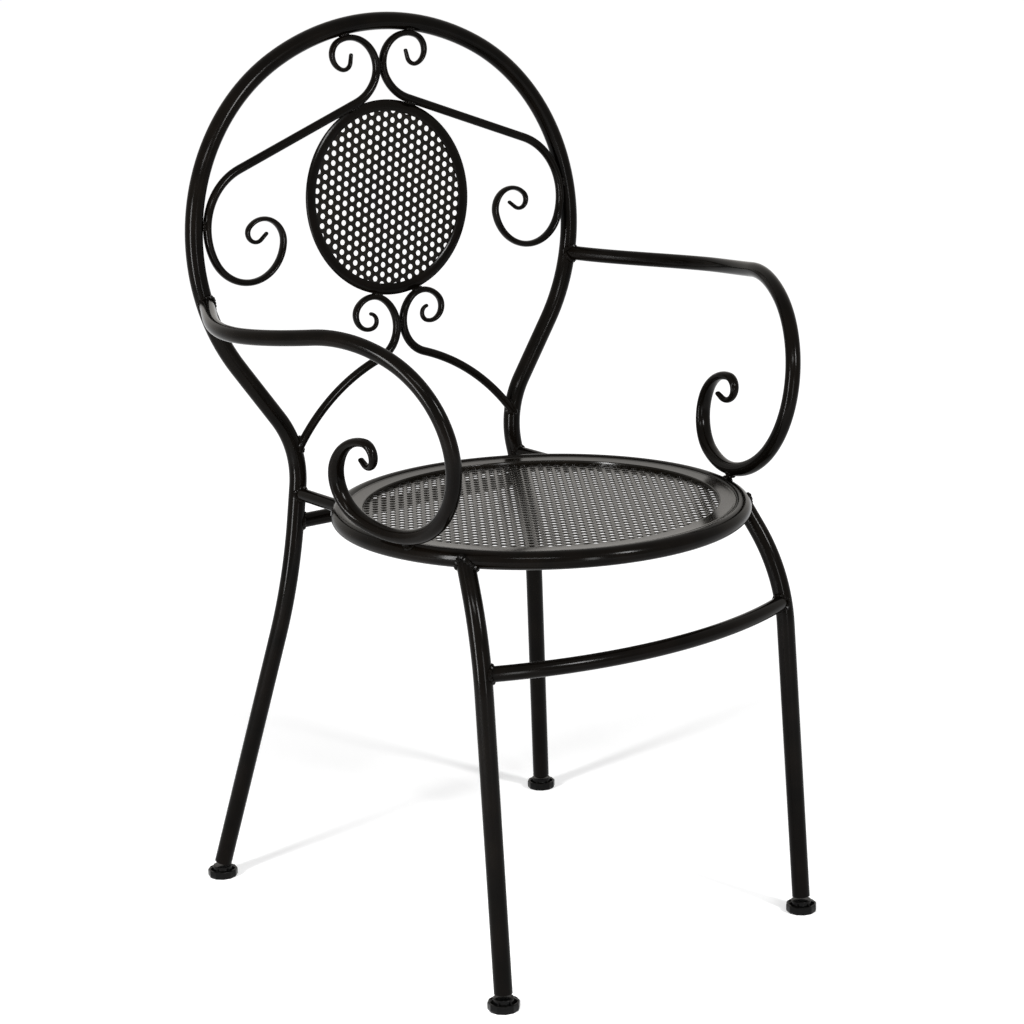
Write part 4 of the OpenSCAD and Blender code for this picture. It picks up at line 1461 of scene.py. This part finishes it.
@dataclass
class Medallion(Assembly):
    """Round medallion of the back: a flat ring with a perforated sheet behind it."""

    hoop: HoopBack
    sheet_coat_painted_light: Finish
    v: float = 301.3
    diameter: float = 212.0
    ring_w: float = 12.2
    ring_t: float = 1.5
    soft: float = 0.35
    front: float = 2.75
    sheet_t: float = 1.0
    hole: float = 6.0
    pitch: float = 10.5
    rows: float = 20.0
    segments: int = 128

    @property
    def radius(self) -> float:
        """Outer radius."""
        return self.diameter / 2

    def place(self, depth: float) -> Matrix:
        """Return the matrix that lays a flat piece behind the medallion's front.

        Args:
            depth: distance behind the ring's front face.

        Returns:
            The matrix, in metres, its local Z towards the front.
        """
        stock, hoop = self.stock, self.hoop
        at = hoop.on_back(0, self.v, self.front - stock.forward + depth) + stock.shift
        return matrix_of(RIGHT, hoop.up, -hoop.out, at * MM)

    def ring(self) -> None:
        """Build the flat ring with softened edges."""
        outer, inner, thick, soft = self.radius, self.radius - self.ring_w, self.ring_t, self.soft
        profile = [
            (inner, -soft), (inner + soft, 0), (outer - soft, 0), (outer, -soft),
            (outer, soft - thick), (outer - soft, -thick), (inner + soft, -thick), (inner, soft - thick),
        ]
        piece = Piece("medallion_flat_ring")
        piece.lathe(profile + profile[:1], ORIGIN, self.segments)
        bmesh.ops.transform(piece.bm, matrix=self.place(0), verts=piece.bm.verts)
        piece.finish(self.coat, Slot.COAT, ("medallion_ring",), smooth=50)

    def sheet(self) -> None:
        """Build the perforated sheet behind the ring."""
        radius, holes_r = self.radius - self.ring_w / 4, self.radius - self.ring_w + self.hole / 2
        sheet = Perforated(radius, holes_r, self.sheet_t, self.hole, self.pitch, self.rows)
        piece = Piece("medallion_sheet")
        sheet.build(piece, self.place(self.ring_t + self.stock.gap))
        piece.finish(self.sheet_coat_painted_light, Slot.SHEET, ("medallion_mesh",), smooth=50)

    def build(self) -> None:
        """Build the ring and its sheet."""
        self.ring()
        self.sheet()


@dataclass
class Scrolls(Assembly):
    """Forged scroll bars in front of the medallion, in one plane with the hoop's front.

    Attributes:
        slope: fall of the upper bar's straight run.
        volute_ease: how far the upper volute stands off that run, and lead the length that
            leads into it.
        upper_curl: turn of the upper eye, straight from there on.
        mid_at: turn of the big volute, from its inner end, at which it touches its twin, and
            crown_at the one at which it touches the hoop.
        side_at: turn of the outer side bend, from its inner end, at which it touches the hoop.
        lower_at: share of its middle bend at which the lower scroll touches the medallion.
        lower_joint: height up the back of its end in the hoop.
        tip_t: the bar's thickness at its tips, over a short or a long taper.
        tip_w: share of the bar's width left at its tips, and slim the length that gives a
            whole width back.
        swell: length of taper that widens the hammered bar by 1 mm.
        weld_in: depth of a dab inside the hoop's skin, and weld_out how far one stands off
            the medallion's edge.
        dab: size of a weld drop, and dab_out its distance before and behind the bars' middle.
        bead_in: depth of the root's bead under the bar's skin.
    """

    hoop: HoopBack
    medallion: Medallion
    slope: float = 20.2
    volute_ease: float = 3.6
    lead: float = 9.4
    big_turn: float = 142.0
    upper_in_r: float = 16.4
    upper_in_turn: float = 136.0
    upper_eye_r: float = 9.0
    upper_curl: float = 98.0
    mid_at: float = 112.0
    crown_at: float = 15.0
    eye_turn: float = 150.0
    side_out_r: float = 68.6
    side_out_turn: float = 95.0
    side_at: float = 38.0
    side_mid_r: float = 45.0
    side_in_r: float = 23.7
    side_turns: float = 145.0
    side_eye_r: float = 9.8
    side_eye_turn: float = 174.0
    side_tip: float = 9.0
    lower_out_r: float = 36.2
    lower_mid_r: float = 25.7
    lower_mid_turn: float = 91.0
    lower_at: float = 0.6
    lower_in_r: float = 15.8
    lower_eye_r: float = 8.2
    lower_lift: float = 48.0
    lower_sweep: float = 72.0
    lower_joint: float = 41.0
    tip_t: float = 4.2
    tip_w: float = 0.55
    slim: float = 100.0
    swell: float = 130.0
    short_taper: float = 170.0
    long_taper: float = 290.0
    end_inset: float = 1.5
    weld_in: float = 1.0
    weld_out: float = 0.5
    dab: float = 5.2
    dab_out: float = 2.4
    root_bead: float = 4.2
    bead_in: float = 0.1
    sides: int = 20

    def __post_init__(self) -> None:
        """Work out both flat paths, and note where the bars are welded to what they touch."""
        self.contacts: list[tuple[float, float, float]] = []
        self.upper_line = self.upper_path()
        self.lower_line = self.lower_path()

    def touch(self, frm: Vector, to: Vector, reach: float) -> None:
        """Note a weld in the back's plane.

        Args:
            frm: the point that the weld is measured from.
            to: the point that it lies towards.
            reach: its distance.
        """
        way = (to - frm).normalized()
        spot = frm + way * reach
        self.contacts.append((spot.x, spot.y, math.degrees(math.atan2(way.y, way.x)) + 90))

    def thick(self, distance: float, taper: float) -> float:
        """Return the hammered bar's thickness at a distance from its tip."""
        return self.tip_t + (self.stock.rod - self.tip_t) * min(1.0, distance / taper)

    def wide(self, distance: float, taper: float) -> float:
        """Work out the hammered bar's width.

        Args:
            distance: distance from the bar's tip.
            taper: length of its taper.

        Returns:
            The width.
        """
        rod = self.stock.rod
        swell = taper / self.swell * sind(180 * min(1.0, distance / taper))
        return min(rod * (self.tip_w + distance / self.slim), rod + swell)

    def half(self, distance: float, taper: float) -> float:
        """Return the distance from a bar's middle to what it touches."""
        return self.thick(distance, taper) / 2 + self.stock.gap

    def to_hoop(self, distance: float, taper: float) -> float:
        """Work out how near to the hoop's middle a bar lies that touches it.

        Args:
            distance: distance of the contact from the bar's tip.
            taper: length of the bar's taper.

        Returns:
            The distance between their middles, in the back's plane.
        """
        sunk, tube = self.stock.forward, self.stock.tube / 2
        thick, wide = self.thick(distance, taper) / 2, self.wide(distance, taper) / 2
        angle = math.asin(sunk / (tube + thick))
        touch = tube + math.hypot(thick * math.cos(angle), wide * math.sin(angle)) + self.stock.gap
        return math.sqrt(touch**2 - sunk**2)

    def to_edge(self, distance: float, taper: float) -> float:
        """Return the distance, in the back's plane, from a bar to the medallion's edge."""
        reach = self.wide(distance, taper) / 2 + self.stock.gap
        return self.half(distance, taper) * math.sqrt(1 - (self.medallion.front / reach) ** 2)

    def section(self, step: Step, thick: float, wide: float) -> Station:
        """Return the bar's cross section at a step of its flat path.

        Args:
            step: the step.
            thick: thickness in the back's plane.
            wide: width across that plane.

        Returns:
            The cross section.
        """
        hoop = self.hoop
        across = hoop.up * cosd(step.heading) - RIGHT * sind(step.heading)
        return Station(hoop.on_back(step.x, step.y, -self.stock.forward), across, hoop.out, thick, wide)

    def upper_path(self) -> list[Step]:
        """Work out the flat path of the right upper scroll.

        Its big volute touches the hoop's crown and its twin on the left, its straight run
        touches the medallion, and its side bend touches the hoop's side.

        Returns:
            The path, from eye to eye.
        """
        hoop, med, short = self.hoop, self.medallion, self.short_taper
        eye_len = arc(self.upper_eye_r, self.eye_turn) + arc(self.upper_in_r, self.upper_in_turn)
        mid_half = self.half(eye_len + arc(2 * self.upper_in_r, self.mid_at), short)
        side_len = (
            self.side_tip + arc(self.side_eye_r, self.side_eye_turn)
            + arc(self.side_in_r + self.side_mid_r, self.side_turns) + arc(self.side_out_r, self.side_at)
        )
        ahead = Vector((cosd(self.slope), -sind(self.slope)))
        normal = Vector((sind(self.slope), cosd(self.slope)))
        start = Vector((0, med.v)) + normal * (med.radius + self.to_edge(short, short))
        crown_v = hoop.top - hoop.crown_r
        in_r = hoop.crown_r - self.to_hoop(eye_len + arc(2 * self.upper_in_r, self.crown_at), short)
        a = (1 - normal.x) / normal.y
        b = (self.volute_ease - normal.x * (mid_half - start.x)) / normal.y - crown_v + start.y
        big_a = in_r**2 - mid_half**2
        big_b = 2 * (in_r + mid_half)
        q = 2 * a * b + big_b
        up_r = (math.sqrt(q * q - 4 * a * a * (b * b - big_a)) - q) / (2 * a * a)
        up_c = Vector((up_r + mid_half, crown_v + math.sqrt(big_a - big_b * up_r)))
        foot_s = (up_c - start).dot(ahead) + self.lead
        lead_r = (self.lead**2 + (up_c - start).dot(normal) ** 2 - up_r**2) / (2 * self.volute_ease)
        foot = start + ahead * foot_s
        to = up_c - (foot + normal * lead_r)
        lead_turn = (270 - self.slope - math.degrees(math.atan2(to.y, to.x))) % 360
        mid = Vector(hoop.side_mid())
        away = start - normal * self.side_out_r - mid
        rho = hoop.side_r - self.to_hoop(side_len, self.long_taper) - self.side_out_r
        along = away.dot(ahead)
        side_s = math.sqrt(along**2 - away.length_squared + rho**2) - along
        side_c = start + ahead * side_s - normal * self.side_out_r
        skin = self.stock.tube / 2 - self.weld_in
        self.touch(Vector((0, crown_v)), up_c, hoop.crown_r - skin)
        self.touch(Vector((0, up_c.y)), up_c, 0.0)
        self.touch(Vector((0, med.v)), start, med.radius)
        self.touch(mid, side_c, hoop.side_r - skin)
        volute = Step(foot.x, foot.y, 180 - self.slope).walk([
            (lead_r, -lead_turn), (up_r, -self.big_turn), (self.upper_in_r, -self.upper_in_turn),
            (self.upper_eye_r, -self.upper_curl),
            (0, arc(self.upper_eye_r, self.eye_turn - self.upper_curl)),
        ], fine=4.0)
        tail = Step(foot.x, foot.y, -self.slope, volute[-1].run).walk([
            (0, side_s - foot_s), (self.side_out_r, -self.side_out_turn),
            (self.side_mid_r, -self.side_turns), (self.side_in_r, -self.side_turns),
            (self.side_eye_r, -self.side_eye_turn), (0, self.side_tip),
        ], fine=4.0)
        return joined(volute, tail)

    def lower_path(self) -> list[Step]:
        """Work out the flat path of the right lower scroll.

        It touches the medallion from below and its twin on the left.

        Returns:
            The path, from its eye into the hoop.
        """
        hoop, med, short = self.hoop, self.medallion, self.short_taper
        eye_len = arc(self.lower_eye_r + self.lower_in_r, self.eye_turn)
        to_twin = arc(self.lower_mid_r, self.lower_mid_turn) + arc(self.lower_out_r, self.lower_lift)
        half = self.half(eye_len + to_twin, short)
        drop = self.lower_out_r - self.lower_mid_r
        c2_u = self.lower_out_r + half - drop * cosd(self.lower_lift)
        to_edge = self.to_edge(eye_len + arc(self.lower_mid_r, self.lower_mid_turn * self.lower_at), short)
        reach = med.radius + self.lower_mid_r + to_edge
        touch = med.v - math.sqrt(reach**2 - c2_u**2) - drop * sind(self.lower_lift)
        low_c = Vector((c2_u, touch + drop * sind(self.lower_lift)))
        self.touch(Vector((0, med.v)), low_c, med.radius + self.weld_out)
        self.touch(Vector((0, touch)), Vector((1, touch)), 0.0)
        volute = Step(half, touch, 90).walk([
            (self.lower_out_r, -self.lower_lift), (self.lower_mid_r, -self.lower_mid_turn),
            (self.lower_in_r, -self.eye_turn), (self.lower_eye_r, -self.eye_turn),
        ], fine=4.0)
        start = Step(half, touch, -90, volute[-1].run)
        p = start.turn(self.lower_out_r, self.lower_sweep)
        root = hoop.leg_z(self.stock.ring_z + self.lower_joint * cosd(hoop.lean))
        to = Vector((root.x - p.x, self.lower_joint - p.y))
        radius = to.length_squared / (2 * to.dot(Vector((sind(p.heading), -cosd(p.heading)))))
        turn = 2 * math.degrees(math.asin(to.length / (2 * radius)))
        short_of = math.degrees(self.end_inset / radius)
        tail = start.walk([(self.lower_out_r, self.lower_sweep), (radius, short_of - turn)], fine=3.0)
        return joined(volute, tail)

    def upper(self, side: Side) -> None:
        """Build one upper scroll with rounded tips.

        Args:
            side: the scroll's side of the chair.
        """
        length = self.upper_line[-1].run
        stations = []
        for step in self.upper_line:
            left = length - step.run
            thick = min(self.thick(step.run, self.short_taper), self.thick(left, self.long_taper))
            near = step.run < self.short_taper
            wide = self.wide(step.run, self.short_taper) if near else self.wide(left, self.long_taper)
            stations.append(self.section(step, thick, wide))
        stations = rounded_end(stations[0], stations[1])[::-1] + stations
        stations += rounded_end(stations[-1], stations[-2])
        names = f"upper_scroll_bar_{side.value}", f"upper_scroll_{side.value}"
        self.add_bar(names[0], stations, names[1], side, self.sides)

    def lower(self, side: Side) -> None:
        """Build one lower scroll, its end inside the skin of the hoop.

        Args:
            side: the scroll's side of the chair.
        """
        stations = [
            self.section(s, self.thick(s.run, self.short_taper), self.wide(s.run, self.short_taper))
            for s in self.lower_line
        ]
        stations = rounded_end(stations[0], stations[1])[::-1] + stations
        names = f"lower_scroll_bar_{side.value}", f"lower_scroll_{side.value}"
        self.add_bar(names[0], stations, names[1], side, self.sides)

    def welds(self) -> None:
        """Build the dabs where the bars touch, and the beads of the lower bars at the hoop."""
        stock, hoop, group = self.stock, self.hoop, Welds("welds_scrolls", self.stock)
        for u, v, angle in self.contacts:
            along = RIGHT * cosd(angle) + hoop.up * sind(angle)
            for out in (-self.dab_out, self.dab_out):
                group.dab(hoop.on_back(u, v, out - stock.forward), along, self.dab)
        end = self.lower_line[-1]
        at = hoop.on_back(end.x, end.y, -stock.forward)
        ahead = RIGHT * cosd(end.heading) + hoop.up * sind(end.heading)
        z = stock.ring_z + self.lower_joint * cosd(hoop.lean)
        radius, leg = stock.rod / 2 - self.bead_in, hoop.leg_dir(z)
        group.bead(Joint(at, ahead, radius, hoop.leg_z(z), leg, stock.tube / 2), self.root_bead)
        group.done(self.coat)

    def build(self) -> None:
        """Build the four scrolls and their welds."""
        for side in Side:
            self.upper(side)
            self.lower(side)
        self.welds()


@dataclass
class Glides:
    """Plastic glides under the four feet: a drum with a raised rim, a collar and gussets.

    Attributes:
        feet: for each CAD glide, the point of its leg that it stands under.
        rim: width of the drum's rim, and recess the depth inside it.
        collar: how far the collar stands out from the leg's tube.
        overlap: depth by which the collar and the gussets run into the drum.
        gusset_in: distance of a gusset from the tube's skin and from the rim.
        gusset_drop: how far a gusset starts below the collar's top.
    """

    stock: Stock
    plastic: Finish
    feet: dict[str, Vector]
    diameter: float = 33.0
    drum: float = 9.0
    cone: float = 4.0
    corners: int = 12
    rim: float = 1.5
    recess: float = 2.0
    collar: float = 1.3
    collar_corners: int = 36
    overlap: float = 0.5
    gussets: int = 6
    gusset_t: float = 1.5
    gusset_in: float = 0.4
    gusset_drop: float = 0.8

    def gusset(self, piece: Piece, turn: Matrix) -> None:
        """Add one small triangular web between the collar and the rim.

        Args:
            piece: the glide that takes it.
            turn: its turn round the glide's axis.
        """
        inner = self.stock.tube / 2 + self.gusset_in
        outer = self.diameter / 2 - self.rim - self.gusset_in
        low = self.drum - self.recess - self.overlap
        high = self.drum + self.cone - self.gusset_drop
        size = Vector((outer - inner, self.gusset_t, high - low))
        middle = Vector(((outer + inner) / 2, 0, (low + high) / 2))
        made = bmesh.ops.create_cube(piece.bm, size=1.0)["verts"]
        bmesh.ops.scale(piece.bm, vec=size * MM, verts=made)
        bmesh.ops.translate(piece.bm, vec=middle * MM, verts=made)
        tops = [v for v in made if v.co.z > middle.z * MM and v.co.x > middle.x * MM]
        bmesh.ops.translate(piece.bm, vec=UP * (self.drum - high - self.overlap) * MM, verts=tops)
        bmesh.ops.transform(piece.bm, matrix=turn, verts=made)

    def build(self) -> None:
        """Build a glide under each foot."""
        wide, high, floor = self.diameter / 2, self.drum + self.cone, self.drum - self.recess
        rim, collar, base = wide - self.rim, self.stock.tube / 2 + self.collar, floor - self.overlap
        drum = [
            (0.0, 0.0), (wide - 2.0, 0.0), (wide - 0.8, 0.4), (wide - 0.15, 1.5), (wide, 3.0),
            (wide, self.drum - 1.4), (wide - 0.25, self.drum - 0.5), (wide - 0.8, self.drum),
            (rim - 0.5, self.drum), (rim - 0.9, self.drum - 0.4), (rim - 1.2, floor), (0.0, floor),
        ]
        neck = [
            (0.0, base), (collar + 0.8, base), (collar + 0.3, floor + 0.6),
            (collar, high - 0.7), (collar - 0.5, high - 0.1), (collar - 1.2, high), (0.0, high),
        ]
        for name, foot in self.feet.items():
            piece = Piece(f"{name}_foot")
            piece.lathe(drum, ORIGIN, self.corners)
            piece.lathe(neck, ORIGIN, self.collar_corners)
            for k in range(self.gussets):
                self.gusset(piece, Matrix.Rotation(math.tau * (k + 0.5) / self.gussets, 4, "Z"))
            at = (Vector((foot.x, foot.y, 0)) + self.stock.shift) * MM
            bmesh.ops.translate(piece.bm, vec=at, verts=piece.bm.verts)
            piece.finish(self.plastic, Slot.GLIDE, (name,), smooth=28)


@dataclass(frozen=True)
class Lamp:
    """A soft lamp that faces the middle of the chair.

    Attributes:
        turn: angle in degrees round the chair, from the camera towards the image's right.
        distance: level distance from the chair in metres, and height its height.
        size: its width and height in metres.
        power: its power in watts.
        aim: height in metres of the point that it faces.
    """

    name: str
    turn: float
    distance: float
    height: float
    size: tuple[float, float]
    power: float
    aim: float = 0.5

    def build(self, away: Vector, beside: Vector) -> None:
        """Build the lamp.

        Args:
            away: level direction from the chair towards the camera.
            beside: level direction towards the image's right.
        """
        at = (away * cosd(self.turn) + beside * sind(self.turn)) * self.distance + UP * self.height
        data = bpy.data.lights.new(self.name, "AREA")
        data.shape, data.size, data.size_y = "RECTANGLE", *self.size
        data.energy = self.power
        lamp = bpy.data.objects.new(self.name, data)
        lamp.location = at
        lamp.rotation_mode = "QUATERNION"
        lamp.rotation_quaternion = (at - UP * self.aim).to_track_quat("Z", "Y")
        bpy.context.scene.collection.objects.link(lamp)


@dataclass
class Studio:
    """Pale floor, soft lamps, white background and the camera of the photograph.

    Attributes:
        eye: the camera's place in metres, then its axes.
        lens: its focal length on a sensor of the given width, and clip what it sees.
        soft: strength of the world as a light.
        glow_near: glow of the floor up to near, and glow_far its glow from far on.
        near: distance in metres, like far and span, the distance that the ramp covers.
        grey: the floor's own grey.
        walls: colour of the walls that the gloss mirrors.
    """

    eye: tuple[float, float, float] = (-1.7249, -2.3518, 1.1644)
    right: tuple[float, float, float] = (0.8018348, -0.5969838, -0.0259093)
    up: tuple[float, float, float] = (0.1659667, 0.1808445, 0.9694072)
    ahead: tuple[float, float, float] = (0.5740349, 0.7816045, -0.2440868)
    lens: float = 99.69
    sensor: float = 36.0
    clip: tuple[float, float] = (0.05, 200.0)
    floor_half: float = 40.0
    grey: float = 0.8
    soft: float = 0.15
    glow_near: float = 0.42
    glow_far: float = 0.89
    near: float = 0.5
    far: float = 1.6
    span: float = 2.0
    walls: tuple[float, float, float, float] = (1.0, 0.965, 0.915, 1)
    lamps: tuple[Lamp, ...] = (
        Lamp("strip_left", -46, 1.9, 0.72, (0.22, 1.15), 62),
        Lamp("strip_right", 25, 2.4, 0.55, (0.20, 0.9), 15),
        Lamp("box_right", 47, 2.4, 1.85, (0.30, 0.6), 56),
        Lamp("strip_above", -4, 2.2, 2.1, (0.9, 0.14), 19),
    )

    def camera(self) -> None:
        """Build the camera at the photograph's place."""
        data = bpy.data.cameras.new("camera")
        data.lens, data.sensor_width = self.lens, self.sensor
        data.clip_start, data.clip_end = self.clip
        cam = bpy.data.objects.new("camera", data)
        cam.matrix_world = matrix_of(
            Vector(self.right), Vector(self.up), -Vector(self.ahead), Vector(self.eye)
        )
        bpy.context.scene.collection.objects.link(cam)
        bpy.context.scene.camera = cam

    def world(self) -> None:
        """Build the world: white where it is seen, warm white walls in the gloss, soft as a light."""
        world = bpy.data.worlds.new("studio")
        bpy.context.scene.world = world
        tree = Shader(world)
        soft, walls, white = (
            tree.add("ShaderNodeBackground", {}, {"Color": colour, "Strength": strength})
            for colour, strength in ((WHITE, self.soft), (self.walls, 1.0), (WHITE, 1.0))
        )
        camera, mirror = tree.rays()
        lit = tree.add("ShaderNodeMixShader", {}, {0: mirror, 1: soft, 2: walls})
        tree.close(tree.add("ShaderNodeMixShader", {}, {0: camera, 1: lit, 2: white}))

    def floor(self) -> None:
        """Build the plain pale floor, which reads white around the chair's soft shadow."""
        bm = bmesh.new()
        bmesh.ops.create_grid(bm, x_segments=1, y_segments=1, size=self.floor_half)
        mesh = bpy.data.meshes.new("floor")
        bm.to_mesh(mesh)
        bm.free()
        floor = bpy.data.objects.new("floor", mesh)
        bpy.context.scene.collection.objects.link(floor)
        material = bpy.data.materials.new("pale_floor")
        tree = Shader(material)
        plain = tree.add("ShaderNodeBsdfDiffuse", {}, {"Color": (self.grey, self.grey, self.grey, 1)})
        glows = [
            tree.add("ShaderNodeEmission", {}, {"Strength": glow})
            for glow in (self.glow_near, self.glow_far)
        ]
        near, far = (tree.add("ShaderNodeAddShader", {}, {0: plain, 1: glow}) for glow in glows)
        away = tree.add("ShaderNodeVectorMath", {"operation": "LENGTH"}, {0: tree.place()}, "Value")
        share = tree.ramp(away * (1 / self.span), self.near / self.span, self.far / self.span)
        bright = tree.add("ShaderNodeMixShader", {}, {0: share, 1: near, 2: far})
        camera, mirror = tree.rays()
        tree.close(tree.add("ShaderNodeMixShader", {}, {0: camera + mirror, 1: plain, 2: bright}))
        mesh.materials.append(material)

    def build(self) -> None:
        """Build camera, world, floor and lamps."""
        self.camera()
        self.world()
        self.floor()
        away = -Vector((self.ahead[0], self.ahead[1], 0)).normalized()
        beside = Vector((self.right[0], self.right[1], 0)).normalized()
        for lamp in self.lamps:
            lamp.build(away, beside)
        bpy.context.scene.view_settings.view_transform = "Standard"


def main() -> None:
    """Build the chair and its studio."""
    logging.basicConfig(level=logging.INFO, format="%(message)s")
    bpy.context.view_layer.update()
    Studio().build()
    # The sheet coat is the black coat with painted light: a paler copy of it for the flat sheet.
    stock, coat, sheet_coat_painted_light = Stock(), PowderCoat(), SheetCoatPaintedLight()
    hoop, legs = HoopBack(stock, coat), FrontLegs(stock, coat)
    medallion = Medallion(stock, coat, hoop, sheet_coat_painted_light)
    hoop.build()
    Seat(stock, coat, sheet_coat_painted_light).build()
    legs.build()
    RearRails(stock, coat, hoop).build()
    Arms(stock, coat, hoop).build()
    medallion.build()
    Scrolls(stock, coat, hoop, medallion).build()
    feet = {}
    for end, foot in (("front", legs.at_z(stock.foot_z)), ("rear", hoop.leg_z(stock.foot_z))):
        feet[f"glide_{end}_right"], feet[f"glide_{end}_left"] = foot, mirrored(foot)
    Glides(stock, GlidePlastic(), feet).build()


if __name__ == "__main__":
    main()
